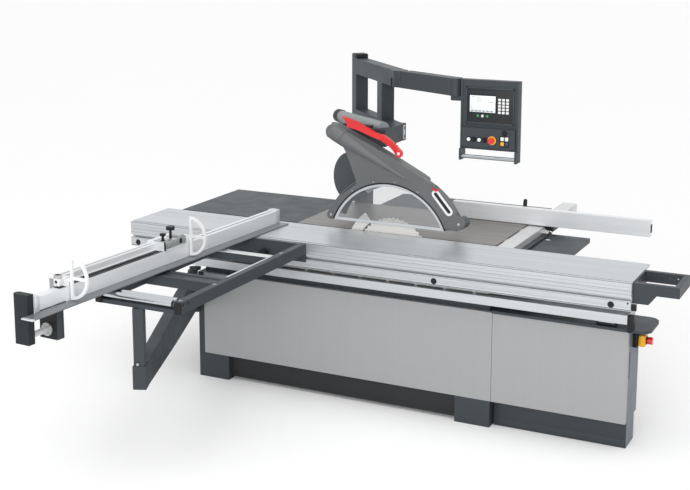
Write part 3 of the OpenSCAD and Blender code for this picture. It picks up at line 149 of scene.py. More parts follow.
def edge_highlight(tree, colour, edge, radius):
    """Softly rounded edges, and a lighter colour along them, a painted edge highlight."""
    bevel = tree.nodes.new("ShaderNodeBevel")
    bevel.samples = 4
    bevel.inputs["Radius"].default_value = radius
    flat = tree.nodes.new("ShaderNodeNewGeometry")
    dot = tree.nodes.new("ShaderNodeVectorMath")
    dot.operation = "DOT_PRODUCT"
    tree.links.new(bevel.outputs["Normal"], dot.inputs[0])
    tree.links.new(flat.outputs["Normal"], dot.inputs[1])
    highlight_mask = remap(tree, dot.outputs["Value"], 0.55, 0.0, 0.8, 0.99)
    mix = tree.nodes.new("ShaderNodeMix")
    mix.data_type = "RGBA"
    mix.inputs[7].default_value = edge
    tree.links.new(highlight_mask, mix.inputs["Factor"])
    tree.links.new(colour, mix.inputs[6])
    return mix.outputs[2], bevel.outputs["Normal"]


def bump(tree, shader, height, strength, distance, normal=None):
    """Small relief from a texture."""
    node = tree.nodes.new("ShaderNodeBump")
    node.inputs["Strength"].default_value = strength
    node.inputs["Distance"].default_value = distance
    tree.links.new(height, node.inputs["Height"])
    if normal is not None:
        tree.links.new(normal, node.inputs["Normal"])
    tree.links.new(node.outputs["Normal"], shader.inputs["Normal"])


def painted(name, colour, rough=0.45, grain=420.0, relief=0.12, edge=1.35, radius=0.0025):
    """Powder coat: fine grain, slow shifts of shade, and a painted highlight along the edges."""
    mat, tree, shader = start(name, rough)
    shader.inputs["Specular IOR Level"].default_value = 0.3
    slow = remap(tree, noise(tree, 1.3), 0.95, 1.05)
    fine_noise = noise(tree, grain, 2.0)
    fine = remap(tree, fine_noise, 0.97, 1.03)
    tone = shade(tree, shade(tree, colour, slow), fine)
    # Lighter edges: a painted highlight along every edge
    highlight_tone = tuple(min(1.0, c * edge) for c in colour[:3]) + (1.0,)
    tone, normal = edge_highlight(tree, tone, highlight_tone, radius)
    tree.links.new(tone, shader.inputs["Base Color"])
    tree.links.new(remap(tree, noise(tree, 9.0), rough - 0.05, rough + 0.06), shader.inputs["Roughness"])
    bump(tree, shader, fine_noise, relief, 0.0004, normal)
    return mat


def brushed(name, colour, along, rough=0.36, metallic=0.75, contrast=0.05, radius=0.0012, relief=0.10):
    """Drawn or ground metal with fine streaks along one axis."""
    mat, tree, shader = start(name, rough, metallic)
    stretch = tuple(0.012 if axis == along else 1.0 for axis in "XYZ")
    streak_noise = noise(tree, 260.0, 4.0, stretch)
    broad_noise = noise(tree, 34.0, 3.0, stretch)
    fine = remap(tree, streak_noise, 1 - contrast, 1 + contrast)
    broad = remap(tree, broad_noise, 1 - contrast, 1 + contrast)
    tone = shade(tree, shade(tree, colour, broad), fine)
    # Lighter edges: a painted highlight along every edge
    highlight_tone = tuple(min(1.0, c * 1.2) for c in colour[:3]) + (1.0,)
    tone, normal = edge_highlight(tree, tone, highlight_tone, radius)
    tree.links.new(tone, shader.inputs["Base Color"])
    tree.links.new(remap(tree, streak_noise, rough - 0.06, rough + 0.08), shader.inputs["Roughness"])
    bump(tree, shader, streak_noise, relief, 0.0002, normal)
    return mat


def moulded(name, colour, rough=0.4, grain=700.0, relief=0.08, coat=0.0, radius=0.0012, gloss=0.5):
    """Moulded plastic with a fine spark-eroded grain."""
    mat, tree, shader = start(name, rough)
    shader.inputs["Coat Weight"].default_value = coat
    shader.inputs["Specular IOR Level"].default_value = gloss
    grain_noise = noise(tree, grain, 2.0)
    slow = remap(tree, noise(tree, 6.0), 0.95, 1.05)
    tone = shade(tree, colour, slow)
    # Lighter edges: a painted highlight along every edge
    highlight_tone = tuple(min(1.0, c * 1.2 + 0.004) for c in colour[:3]) + (1.0,)
    tone, normal = edge_highlight(tree, tone, highlight_tone, radius)
    tree.links.new(tone, shader.inputs["Base Color"])
    tree.links.new(remap(tree, grain_noise, rough - 0.05, rough + 0.05), shader.inputs["Roughness"])
    bump(tree, shader, grain_noise, relief, 0.0003, normal)
    return mat


def polished(name, colour, rough=0.14):
    """Chrome: bright, with faint polishing marks."""
    mat, tree, shader = start(name, rough, 1.0)
    marks = noise(tree, 180.0, 3.0, (0.1, 1.0, 1.0))
    tree.links.new(shade(tree, colour, remap(tree, marks, 0.95, 1.03)), shader.inputs["Base Color"])
    tree.links.new(remap(tree, marks, rough - 0.05, rough + 0.08), shader.inputs["Roughness"])
    return mat


def sheet_clear(name, colour, alpha=0.1, rough=0.12):
    """Clear sheet, slightly hazy with fine scratches."""
    mat, tree, shader = start(name, rough)
    shader.inputs["Alpha"].default_value = alpha
    shader.inputs["IOR"].default_value = 1.49
    scratches = noise(tree, 120.0, 5.0, (0.2, 1.0, 1.0))
    tree.links.new(shade(tree, colour, remap(tree, scratches, 0.94, 1.04)), shader.inputs["Base Color"])
    tree.links.new(remap(tree, scratches, rough - 0.05, rough + 0.1), shader.inputs["Roughness"])
    return mat


def ribbed_rubber(name, colour):
    """Belt rubber with ribs along its run."""
    mat, tree, shader = start(name, 0.75)
    coords = tree.nodes.new("ShaderNodeTexCoord")
    wave = tree.nodes.new("ShaderNodeTexWave")
    wave.bands_direction = "Y"
    wave.inputs["Scale"].default_value = 60.0
    tree.links.new(coords.outputs["Object"], wave.inputs["Vector"])
    tree.links.new(shade(tree, colour, remap(tree, wave.outputs["Fac"], 0.7, 1.2, 0.0, 1.0)),
                   shader.inputs["Base Color"])
    bump(tree, shader, wave.outputs["Fac"], 0.5, 0.002)
    return mat


dark_paint = painted("dark_paint", DARK)
panel_paint = brushed("panel_steel", PANEL, "Z", rough=0.42, metallic=0.15, contrast=0.012, relief=0.05)
cabinet_paint = painted("cabinet_paint", CABINET)
alu_x = brushed("aluminium_along_x", ALU, "X", metallic=0.6)
# Fence aluminium: the lighter copy, painted light, and less metallic so that it reflects less of the table
alu_face = brushed("rip_fence_aluminium", LIT_FENCE_ALU, "X", metallic=0.15, contrast=0.03)
alu_fence = brushed("aluminium_along_y", LIT_FENCE_ALU, "Y", metallic=0.15, contrast=0.03)
base_alu = brushed("base_aluminium", BASE_ALU, "Y", metallic=0.35, contrast=0.05)
zinc = brushed("zinc_plate", ZINC, "Z", rough=0.3, metallic=0.6, contrast=0.03)
roller_steel = brushed("roller_steel", ROLLER, "Y", rough=0.14, metallic=1.0, contrast=0.012, relief=0.01)
rail_alu = brushed("rail_aluminium", RAIL, "Y", metallic=0.3, contrast=0.025)
iron = brushed("ground_iron", IRON, "X", rough=0.42, metallic=0.55, contrast=0.15, relief=0.16)
steel = brushed("brushed_steel", STEEL, "X", rough=0.3, metallic=0.9, contrast=0.05)
blade_steel = brushed("blade_steel", BLADE, "X", rough=0.3, metallic=0.35, contrast=0.04)
chrome = polished("chrome", CHROME)
guard_grey = moulded("guard_grey", GUARD, rough=0.42, radius=0.004)
chute_grey = moulded("chute_grey", CHUTE, rough=0.5)
black_plastic = moulded("black_plastic", BLACK, rough=0.42, gloss=0.25)
soft_black = moulded("soft_black", SOFT_BLACK, rough=0.5, gloss=0.25)
end_grey = moulded("end_grey", END_GREY, rough=0.55, radius=0.004, gloss=0.2)
groove_shade = moulded("groove_shade", GROOVE_SHADE, rough=0.6)
white_plastic = moulded("white_plastic", WHITE, rough=0.36)
rim_grey = moulded("rim_grey", RIM, rough=0.4)
pipe_grey = moulded("pipe_grey", PIPE, rough=0.4)
red_plastic = moulded("red_plastic", RED, rough=0.3, coat=0.3)
yellow_plastic = moulded("yellow_plastic", YELLOW, rough=0.32, coat=0.2)
green_plastic = moulded("green_plastic", GREEN, rough=0.3, coat=0.3)
blue_plastic = moulded("blue_plastic", BLUE, rough=0.35)
screen_face = moulded("screen_face", SCREEN, rough=0.2, relief=0.02, coat=0.6)
screen_ink = moulded("screen_ink", INK, rough=0.3)
clear_sheet = sheet_clear("clear_sheet", CLEAR)
belt_rubber = ribbed_rubber("belt_rubber", RUBBER)

# Finish of each CAD node
FINISHES = {
    dark_paint: [
        "stand_frame", "side_tray", "left_extension", "rip_extension", "rail_shelf", "guard_column",
        "gantry_frame", "tilt_trunnions", "outrigger_frame", "outrigger_bracket", "swing_arm", "support_post",
        "saw_cradle", "saw_motor", "panel_arm", "control_panel", "push_handle",
    ],
    panel_paint: ["front_panel_left", "front_panel_right"],
    cabinet_paint: ["infeed_cabinet"],
    yellow_plastic: ["estop_housing"],
    alu_x: ["slide_beam", "sliding_table"],
    alu_face: ["rip_fence"],
    alu_fence: ["crosscut_fence", "fence_extension"],
    base_alu: ["fence_base"],
    rail_alu: ["rip_rail", "guide_tube"],
    iron: ["saw_table", "lift_carriage"],
    steel: ["roller_cage", "saw_arbor", "motor_pulley"],
    blade_steel: ["saw_blade", "riving_knife"],
    roller_steel: ["load_roller_outer", "load_roller_inner"],
    chrome: ["rip_knob", "panel_handle"],
    black_plastic: [
        "outrigger_knob", "clamp_knob", "rip_carrier", "rip_lever", "saw_stop_button", "aux_stop_button",
    ],
    end_grey: ["extension_end_block"],
    white_plastic: [
        "stop_slide_inner", "stop_slide_outer", "stop_flag_inner", "stop_flag_outer",
        "saw_start_button", "aux_start_button",
    ],
    guard_grey: ["guard_hood"],
    pipe_grey: ["suction_pipe"],
    red_plastic: ["guard_lever", "panel_estop", "cabinet_estop"],
    clear_sheet: ["guard_window"],
    belt_rubber: ["drive_belt"],
}
for finish, names in FINISHES.items():
    for name in names:
        mesh = nodes[name].data
        mesh.materials.clear()
        mesh.materials.append(finish)


# Shapes

def add_block(bm, low, high, bevel=1.5, turn=None):
    """Adds a block with rounded edges between two corners."""
    low, high = Vector(low), Vector(high)
    place = Matrix.Translation((low + high) / 2) @ (turn or Matrix())
    size = Matrix.Diagonal((*(high - low), 1.0))
    made = bmesh.ops.create_cube(bm, size=1.0, matrix=place @ size)
    edges = {edge for vert in made["verts"] for edge in vert.link_edges}
    bmesh.ops.bevel(bm, geom=list(edges), offset=bevel, segments=2, profile=0.5, affect="EDGES")


def add_turned(bm, profile, place, axis, steps=32, bored=False):
    """Adds a turned piece along an axis from a place: profile pairs a radius with a distance along the axis.

    A bored piece joins its last ring to its first, so that its hole stays open.
    """
    axis = Vector(axis).normalized()
    turn = axis.to_track_quat("Z", "Y").to_matrix().to_4x4()
    frame_at = Matrix.Translation(Vector(place)) @ turn
    rings = []
    for radius, along in profile:
        if radius == 0:
            rings.append([bm.verts.new(frame_at @ Vector((0, 0, along)))])
            continue
        rings.append([
            bm.verts.new(frame_at @ Vector((radius * math.cos(a), radius * math.sin(a), along)))
            for a in (2 * math.pi * i / steps for i in range(steps))
        ])
    if bored:
        rings.append(rings[0])
    for lower, upper in zip(rings, rings[1:]):
        for i in range(steps):
            j = (i + 1) % steps
            corners = [
                lower[i % len(lower)], lower[j % len(lower)], upper[j % len(upper)], upper[i % len(upper)],
            ]
            bm.faces.new(list(dict.fromkeys(corners)))
    if not bored and len(rings[0]) > 1:
        bm.faces.new(rings[0][::-1])
    if not bored and len(rings[-1]) > 1:
        bm.faces.new(rings[-1])


def add_screw(bm, place, axis, radius=6.0, height=3.0):
    """Adds a domed screw head with a round recess."""
    add_turned(bm, [
        (radius, 0), (radius, height * 0.5), (radius * 0.8, height), (radius * 0.45, height),
        (radius * 0.4, height * 0.5), (0, height * 0.5),
    ], place, axis, 20)


def add_outline(bm, points, y, bevel=1.5):
    """Adds a flat outline on X and Z, given a thickness along Y, with rounded edges."""
    low, high = ([bm.verts.new((x, depth, z)) for x, z in points] for depth in y)
    front = bm.faces.new(low)
    back = bm.faces.new(high[::-1])
    for i in range(len(points)):
        j = (i + 1) % len(points)
        bm.faces.new([low[j], low[i], high[i], high[j]])
    if bevel:
        edges = list(front.edges) + list(back.edges)
        bmesh.ops.bevel(bm, geom=edges, offset=bevel, segments=3, profile=0.5, affect="EDGES")


def add_ring(bm, outer, inner, y):
    """Adds a flat ring or band between two outlines with as many points, given a thickness along Y."""
    loops = [[bm.verts.new((x, depth, z)) for x, z in loop] for depth in y for loop in (outer, inner)]
    front_out, front_in, back_out, back_in = loops
    count = len(outer)
    for i in range(count):
        j = (i + 1) % count
        bm.faces.new([front_out[i], front_out[j], front_in[j], front_in[i]])
        bm.faces.new([back_out[j], back_out[i], back_in[i], back_in[j]])
        bm.faces.new([front_out[j], front_out[i], back_out[i], back_out[j]])
        bm.faces.new([front_in[i], front_in[j], back_in[j], back_in[i]])


def arc(centre, radius, begin, end, steps=24):
    """Points along an arc, angles in degrees."""
    angles = [math.radians(begin + (end - begin) * i / steps) for i in range(steps + 1)]
    return [(centre[0] + radius * math.cos(a), centre[1] + radius * math.sin(a)) for a in angles]


def smooth(points, steps=6):
    """A smooth curve through given points."""
    ends = [points[0], *points, points[-1]]
    curve = []
    for a, b, c, d in zip(ends, ends[1:], ends[2:], ends[3:]):
        for i in range(steps):
            t = i / steps
            curve.append(tuple(
                0.5 * (2 * q + (r - p) * t + (2 * p - 5 * q + 4 * r - s) * t * t
                       + (3 * q - p - 3 * r + s) * t ** 3)
                for p, q, r, s in zip(a, b, c, d)
            ))
    return curve + [points[-1]]


def stadium(begin, end, radius, steps=10):
    """Outline of a slot with round ends between two points."""
    lean = math.degrees(math.atan2(end[1] - begin[1], end[0] - begin[0]))
    return arc(end, radius, lean - 90, lean + 90, steps) + arc(begin, radius, lean + 90, lean + 270, steps)


def make(name, bm, finish, body, turn=None):
    """Makes a piece from what was drawn, in its finish, riding on a body."""
    bmesh.ops.recalc_face_normals(bm, faces=bm.faces)
    bm.transform(Matrix.Scale(MM, 4) @ (turn or Matrix()))
    mesh = bpy.data.meshes.new(name)
    bm.to_mesh(mesh)
    bm.free()
    mesh.polygons.foreach_set("use_smooth", [True] * len(mesh.polygons))
    mesh.set_sharp_from_angle(angle=SMOOTH_ANGLE)
    mesh.materials.append(finish)
    piece = bpy.data.objects.new(name, mesh)
    bpy.context.scene.collection.objects.link(piece)
    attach(piece, body)
    return piece


def corner(node, end):
    """A corner of a CAD node's box in millimetres: 0 is the lowest, 1 the highest."""
    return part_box(node)[end] / MM


def level_frame(hinge, along):
    """Frame in millimetres on the floor under a hinge, with X along a level direction."""
    x, y, _ = joints[hinge]["pos_m"]
    return Matrix.Translation((x / MM, y / MM, 0)) @ Matrix.Rotation(math.atan2(along[1], along[0]), 4, "Z")


# Sliding table: round caps, a screw and dark groove lines of painted shade on its front, buffer under the
# handle
table_low, table_high = corner("sliding_table", 0), corner("sliding_table", 1)
CAP_RISE = 24
CAP_INS = [50, 1000, 1950, 2900]
FLUSH = 0.2
bm = bmesh.new()
for place in CAP_INS:
    add_turned(bm, [(17, -2), (17, 0.05), (16, FLUSH), (0, FLUSH)],
               (table_low.x + place, table_low.y, table_low.z + CAP_RISE), (0, -1, 0))
add_turned(bm, [(5, -1), (5, 0.05), (4, FLUSH), (0, FLUSH)],
           (table_high.x - 16, table_low.y, table_low.z + 40), (0, -1, 0), 16)
make("table_front_caps", bm, black_plastic, "sliding_table")

# Dark strips: painted shade in the front's grooves, the widest one under its lower edge
GROOVES = [(143, 2.4), (106, 1.4), (84, 1.4), (47, 1.2), (5, 4.0)]
bm = bmesh.new()
for rise, width in GROOVES:
    z = table_low.z + rise
    add_block(bm, (table_low.x + 1, table_low.y - 0.1, z - width / 2),
              (table_high.x - 1, table_low.y + 0.6, z + width / 2), 0.02)
make("table_front_groove_shade", bm, groove_shade, "sliding_table")

bm = bmesh.new()
add_block(bm, (table_high.x, table_low.y + 8, table_low.z + 2),
          (table_high.x + 26, table_low.y + 22, table_low.z + 36), 4)
make("table_end_buffer", bm, black_plastic, "sliding_table")

# Beam: stop at its right end, dark pad round its foot on the tray
beam_low, beam_high = corner("slide_beam", 0), corner("slide_beam", 1)
bm = bmesh.new()
add_block(bm, (beam_high.x, beam_low.y + 8, beam_low.z + 6),
          (beam_high.x + 30, beam_low.y + 44, beam_high.z - 2), 4)
add_block(bm, (beam_high.x, beam_low.y + 14, beam_low.z - 8),
          (beam_high.x + 18, beam_low.y + 38, beam_low.z + 10), 4)
make("beam_end_stop", bm, black_plastic, "machine")
PAD_X = (1470, 1570)
PAD_Y = (-346, -300)
PAD_Z = (655.5, 670)
bm = bmesh.new()
add_block(bm, (PAD_X[0], PAD_Y[0], PAD_Z[0]), (PAD_X[1], PAD_Y[1], PAD_Z[1]), 3)
make("beam_pad", bm, black_plastic, "machine")

# Stand: dark board over the recessed plinth between its front feet, painted shade in the recess
PLINTH_FRONT = -321.5
PLINTH_HALF = 710
bm = bmesh.new()
PLINTH_SHADE_BOARDS = [(21, 30), (31, 147)]
for low, high in PLINTH_SHADE_BOARDS:
    add_block(bm, (-PLINTH_HALF, PLINTH_FRONT - 1.3, low), (PLINTH_HALF, PLINTH_FRONT - 0.1, high), 0.4)
make("plinth_shade_board", bm, soft_black, "machine")

# Infeed cabinet: dark kick plate in two boards, and a black liner behind the slot in its side, painted shade
# inside the slot
cabinet_low, cabinet_high = corner("infeed_cabinet", 0), corner("infeed_cabinet", 1)
KICK_FRONT = -296
KICK_H = 148
KICK_SEAM = 42
bm = bmesh.new()
for low, high in ((1, KICK_SEAM - 1), (KICK_SEAM + 1, KICK_H - 1)):
    add_block(bm, (cabinet_low.x + 1, KICK_FRONT - 3, low), (cabinet_high.x - 5, KICK_FRONT - 0.2, high), 1)
make("kick_plate", bm, dark_paint, "machine")
SHADE_LINER_Y = (-321, -240)
SHADE_LINER_Z = (360, 560)
bm = bmesh.new()
add_block(bm, (cabinet_high.x - 10, SHADE_LINER_Y[0], SHADE_LINER_Z[0]),
          (cabinet_high.x - 6.4, SHADE_LINER_Y[1], SHADE_LINER_Z[1]), 1)
make("slot_shade_liner", bm, black_plastic, "machine")

# Push handle: rivets along its far bar
handle_low, handle_high = corner("push_handle", 0), corner("push_handle", 1)
HANDLE_BAR = 28
bm = bmesh.new()
RIVETS = (0.22, 0.4, 0.58, 0.76)
for share in RIVETS:
    x = handle_low.x + share * (handle_high.x - handle_low.x)
    add_screw(bm, (x, handle_high.y - HANDLE_BAR, handle_high.z - 22), (0, -1, 0), 5, 3)
make("handle_rivets", bm, chrome, "sliding_table")

# Guard: shell of arm and arch in one sweep, roof, rear band and chute
HOOD = (173, 837)
HOOD_IN = 372
HOOD_OUT = 420
HOOD_WIDE = 470
FRONT = -40
REAR = 126
left_foot = arc((-190, 993), 28, 300, 148, 10)
left_band = [
    (HOOD[0] + r * math.cos(math.radians(a)), HOOD[1] + r * math.sin(math.radians(a)))
    for r, a in ((419, 154), (415, 146), (409, 138), (403, 130))
]
neck = smooth([(-34, 1180), (-30, 1206), (-51, 1261), (-80, 1335), (-108, 1393), (-140, 1432)])
head = arc((-180, 1478), 46, 225, 60, 10)
shoulder = smooth([(-120, 1500), (-61, 1473), (118, 1393), (400, 1250)]) + [(438, 1232), (454, 1210)]
wide_band = arc(HOOD, HOOD_WIDE, 50, 29, 8)
right_foot = arc((601, 1016), 33, 40, -100, 10)
inner = arc(HOOD, HOOD_IN, 21.5, 158, 40)
shell = inner[::-1] + right_foot[::-1] + wide_band[::-1] + shoulder[::-1] + head[::-1] + neck[::-1]
shell += left_band[::-1] + left_foot[::-1]
bm = bmesh.new()
add_outline(bm, shell, (FRONT, FRONT + 34), 7)
arm = neck[4:] + head + shoulder[:-2] + arc(HOOD, HOOD_OUT - 6, 55, 118, 16)
add_outline(bm, arm, (FRONT + 28, 40), 7)
roof_out = arc(HOOD, HOOD_OUT, 24, 154, 48)
roof_in = arc(HOOD, HOOD_OUT - 10, 24, 154, 48)
add_outline(bm, roof_out + roof_in[::-1], (FRONT + 20, REAR), 2)
rear_band = arc(HOOD, HOOD_OUT, 19, 161, 48) + arc(HOOD, HOOD_IN - 4, 160, 20, 48)
add_outline(bm, rear_band, (REAR - 10, REAR), 3)
guard_shell = make("guard_shell", bm, guard_grey, "guard")
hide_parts("guard_hood")

# Tapered hose port along the guard's arm, with its cap
PORT_BEGIN = Vector((-192, -20, 1484))
PORT_END = Vector((290, -38, 1238))
port_l = (PORT_END - PORT_BEGIN).length
bm = bmesh.new()
add_turned(bm, [
    (0, -14), (24, -12), (36, -6), (44, 6), (46, 28), (46, 80), (43, 82), (43, 86), (46, 88),
    (43, 130), (32, 0.42 * port_l), (21, 0.66 * port_l), (11, 0.88 * port_l), (5, 0.97 * port_l), (0, port_l),
], PORT_BEGIN, PORT_END - PORT_BEGIN, 40)
make("guard_port", bm, guard_grey, "guard")

# Oval chute behind the guard's left side
CHUTE_C = (-149, 1190)
CHUTE_HALF = (107, 147)


def oval(share):
    """Outline of the chute, drawn in to a share of its size."""
    return [(CHUTE_C[0] + share * CHUTE_HALF[0] * c, CHUTE_C[1] + share * CHUTE_HALF[1] * s)
            for c, s in arc((0, 0), 1, 0, 360 * 47 / 48, 47)]


bm = bmesh.new()
add_outline(bm, oval(1.0), (REAR, REAR + 18), 4)
add_outline(bm, oval(0.72), (REAR + 16, REAR + 26), 3)
make("guard_chute", bm, chute_grey, "guard")

# Boss behind the right foot
BOSS = (604, 1016)
bm = bmesh.new()
add_turned(bm, [(30, 0), (33, 3), (33, 54), (30, 57), (12, 57), (10, 54), (0, 54)],
           (BOSS[0], FRONT + 30, BOSS[1]), (0, 1, 0), 40)
make("foot_boss", bm, chute_grey, "guard")

# Rims of the window: black seal on the shell, light rim on the sheet
bm = bmesh.new()
add_outline(bm, arc(HOOD, HOOD_IN + 3, 21, 159, 60) + arc(HOOD, HOOD_IN - 5, 159, 21, 60),
            (FRONT - 1, FRONT + 8), 0.8)
make("window_seal", bm, black_plastic, "guard")
bm = bmesh.new()
add_outline(bm, arc(HOOD, HOOD_IN - 5, 20.5, 159.5, 60) + arc(HOOD, HOOD_IN - 19, 158.5, 21.5, 60),
            (FRONT + 1, FRONT + 6), 0.8)
add_outline(bm, [(-166, 968), (512, 968), (506, 984), (-160, 984)], (FRONT + 1.2, FRONT + 5.5), 0.6)
add_outline(bm, arc(HOOD, HOOD_IN - 5, 62, 128, 40) + arc(HOOD, HOOD_IN - 38, 126, 64, 40),
            (REAR - 18, REAR - 12), 0.8)
make("window_rim", bm, rim_grey, "guard")

# Sight slot in the wide band with its frame and red slider, screws at both ends
SLOT = ((463, 1176), (543, 1082))
bm = bmesh.new()
add_ring(bm, stadium(*SLOT, 23), stadium(*SLOT, 10), (FRONT - 2.5, FRONT + 2))
make("sight_frame", bm, white_plastic, "guard")
bm = bmesh.new()
add_outline(bm, stadium(*SLOT, 10.2), (FRONT - 0.6, FRONT + 2), 0.3)
make("sight_slot", bm, soft_black, "guard")
bm = bmesh.new()
slider = smooth([(446, 1214), (456, 1203), (470, 1200), (486, 1208), (478, 1196), (462, 1192), (446, 1202),
                 (446, 1214)], 3)[:-1]
add_outline(bm, slider, (FRONT - 9, FRONT - 1), 1)
make("sight_slider", bm, red_plastic, "guard")
bm = bmesh.new()
for place in ((-190, FRONT, 993), (601, FRONT, 1016)):
    add_screw(bm, place, (0, -1, 0), 8, 4)
SCREW_R = 384
for angle in (62, 84, 104, 126):
    a = math.radians(angle)
    add_screw(bm, (HOOD[0] + SCREW_R * math.cos(a), FRONT, HOOD[1] + SCREW_R * math.sin(a)), (0, -1, 0), 4, 2)
make("guard_screws", bm, steel, "guard")

# Red lever: bowed bar with a ribbed grip and a hole at its tip
LEVER_Y = (-20, 2)
lever_top = smooth([(-130, 1572), (-54, 1550), (19, 1520), (79, 1491), (121, 1480), (156, 1466), (198, 1433),
                    (240, 1397)], 3)
lever_tip = arc((226, 1380), 22, 40, -130, 6)
lever_under = smooth([(196, 1390), (175, 1415), (138, 1442), (91, 1456), (37, 1473), (-23, 1495), (-72, 1506),
                      (-102, 1512)], 2)
bm = bmesh.new()
add_outline(bm, lever_top + lever_tip + lever_under + [(-96, 1533)], LEVER_Y, 2.5)
GRIP = ((116, 1466), (202, 1410))
RIBS = 9
RIB_TURN = math.radians(36)
for i in range(RIBS):
    t = i / (RIBS - 1)
    x = GRIP[0][0] + t * (GRIP[1][0] - GRIP[0][0])
    z = GRIP[0][1] + t * (GRIP[1][1] - GRIP[0][1]) + 4 * math.sin(math.pi * t)
    turn = Matrix.Rotation(RIB_TURN, 4, "Y")
    add_block(bm, (x - 2.6, LEVER_Y[0] - 3, z - 19), (x + 2.6, LEVER_Y[1] + 3, z + 21), 2, turn)
lever = make("lever_bar", bm, red_plastic, "guard_lever")
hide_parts("guard_lever")
bm = bmesh.new()
add_turned(bm, [(9, 0), (9, 1), (7, 1.6), (0, 1.6)], (226, LEVER_Y[0], 1381), (0, -1, 0), 24)
make("lever_hole", bm, white_plastic, "guard_lever")

# Control panel: bezels, screen, keypad, lamps, keys and selector
PANEL_X0 = 588
PANEL_W = 330
PANEL_TOP = 1821
PANEL_H = 381
FACE = 0
DECK = -14


def panel_x(share):
    return PANEL_X0 + share * PANEL_W


def panel_z(share):
    return PANEL_TOP - share * PANEL_H


def panel_block(bm, x, z, y, bevel=1.0):
    """Adds a block on the panel between shares of its width and height."""
    add_block(bm, (panel_x(x[0]), y[0], panel_z(z[1])), (panel_x(x[1]), y[1], panel_z(z[0])), bevel)


bm = bmesh.new()
for x, z in (((0.09, 0.93), (0.10, 0.125)), ((0.09, 0.93), (0.60, 0.625)), ((0.09, 0.115), (0.10, 0.625)),
             ((0.905, 0.93), (0.10, 0.625))):
    panel_block(bm, x, z, (FACE - 5, FACE + 2), 1.6)
make("panel_bezel", bm, dark_paint, "control_panel")
bm = bmesh.new()
panel_block(bm, (0.115, 0.905), (0.125, 0.60), (FACE - 2, FACE + 2), 0.6)
make("panel_face", bm, soft_black, "control_panel")
bm = bmesh.new()
panel_block(bm, (0.148, 0.622), (0.205, 0.472), (FACE - 4.5, FACE), 1.2)
make("screen_frame", bm, black_plastic, "control_panel")
bm = bmesh.new()
panel_block(bm, (0.162, 0.608), (0.22, 0.458), (FACE - 5.2, FACE - 3), 0.4)
make("screen_pane", bm, screen_face, "control_panel")
bm = bmesh.new()
for x, z in (((0.20, 0.25), (0.24, 0.247)), ((0.29, 0.36), (0.255, 0.262)), ((0.28, 0.37), (0.295, 0.301)),
             ((0.50, 0.56), (0.255, 0.262)), ((0.49, 0.57), (0.305, 0.312)), ((0.18, 0.21), (0.39, 0.396))):
    panel_block(bm, x, z, (FACE - 5.6, FACE - 5), 0.15)
for i in range(6):
    x = 0.185 + 0.066 * i
    panel_block(bm, (x, x + 0.05), (0.43, 0.45), (FACE - 5.6, FACE - 5), 0.15)
make("screen_marks", bm, screen_ink, "control_panel")
bm = bmesh.new()
for column in range(3):
    for row in range(5):
        x = 0.652 + 0.068 * column
        z = 0.250 + 0.0455 * row
        panel_block(bm, (x, x + 0.048), (z, z + 0.034), (FACE - 5.5, FACE - 1), 1.4)
make("keypad_keys", bm, white_plastic, "control_panel")
for i, (finish, slot) in enumerate(((green_plastic, "guard_plastic"), (white_plastic, "white_plastic"),
                                    (green_plastic, "guard_plastic"))):
    bm = bmesh.new()
    place = (panel_x(0.303 + 0.082 * i), FACE - 2, panel_z(0.512))
    add_turned(bm, [(7.5, 0), (7.5, 2), (6.4, 3), (5.6, 3), (4.5, 4.2), (0, 5)], place, (0, -1, 0), 24)
    make(f"panel_lamp_{i + 1}", bm, finish, "control_panel")
bm = bmesh.new()
panel_block(bm, (0.09, 0.93), (0.642, 0.652), (FACE - 3, FACE + 1), 1)
for x in (0.0, 0.965):
    panel_block(bm, (x, x + 0.035), (0.004, 0.996), (FACE - 4, FACE + 3), 1.2)
make("panel_trim", bm, dark_paint, "control_panel")

BUTTON_Z = 1496
BUTTON_SHARES = (0.168, 0.255, 0.353, 0.445)
ESTOP_SHARE = 0.566
bm = bmesh.new()
for share in BUTTON_SHARES:
    add_turned(bm, [(15, -0.5), (15, 1.5), (13.5, 3), (11.4, 3), (10.8, 1), (10.8, -0.5)],
               (panel_x(share), DECK, BUTTON_Z), (0, -1, 0), 32, True)
make("button_rings", bm, black_plastic, "control_panel")
bm = bmesh.new()
add_turned(bm, [(24, -0.5), (24, 0.2), (23, 0.4), (11, 0.4), (10, -0.5)],
           (panel_x(ESTOP_SHARE), DECK, BUTTON_Z), (0, -1, 0), 32, True)
make("estop_ring", bm, yellow_plastic, "control_panel")
bm = bmesh.new()
panel_block(bm, (0.705, 0.865), (0.775, 0.935), (DECK - 2, DECK + 1), 1)
selector = (panel_x(0.785), panel_z(0.735))
add_turned(bm, [(15, 0), (15, 2), (12, 3), (11, 12), (9.5, 13), (0, 13)],
           (selector[0], DECK, selector[1]), (0, -1, 0), 28)
add_block(bm, (selector[0] - 3, DECK - 17, selector[1] - 11),
          (selector[0] + 3, DECK - 11, selector[1] + 11), 1.2)
make("key_field", bm, black_plastic, "control_panel")
KEYS = [("key_upper_left", 0.72, 0.79, white_plastic, "white_plastic"),
        ("key_upper_right", 0.795, 0.79, white_plastic, "white_plastic"),
        ("key_lower_left", 0.72, 0.862, yellow_plastic, "yellow_plastic"),
        ("key_lower_right", 0.795, 0.862, blue_plastic, "black_plastic")]
for name, x, z, finish, slot in KEYS:
    bm = bmesh.new()
    panel_block(bm, (x, x + 0.058), (z, z + 0.055), (DECK - 5, DECK - 1), 2)
    make(name, bm, finish, "control_panel")

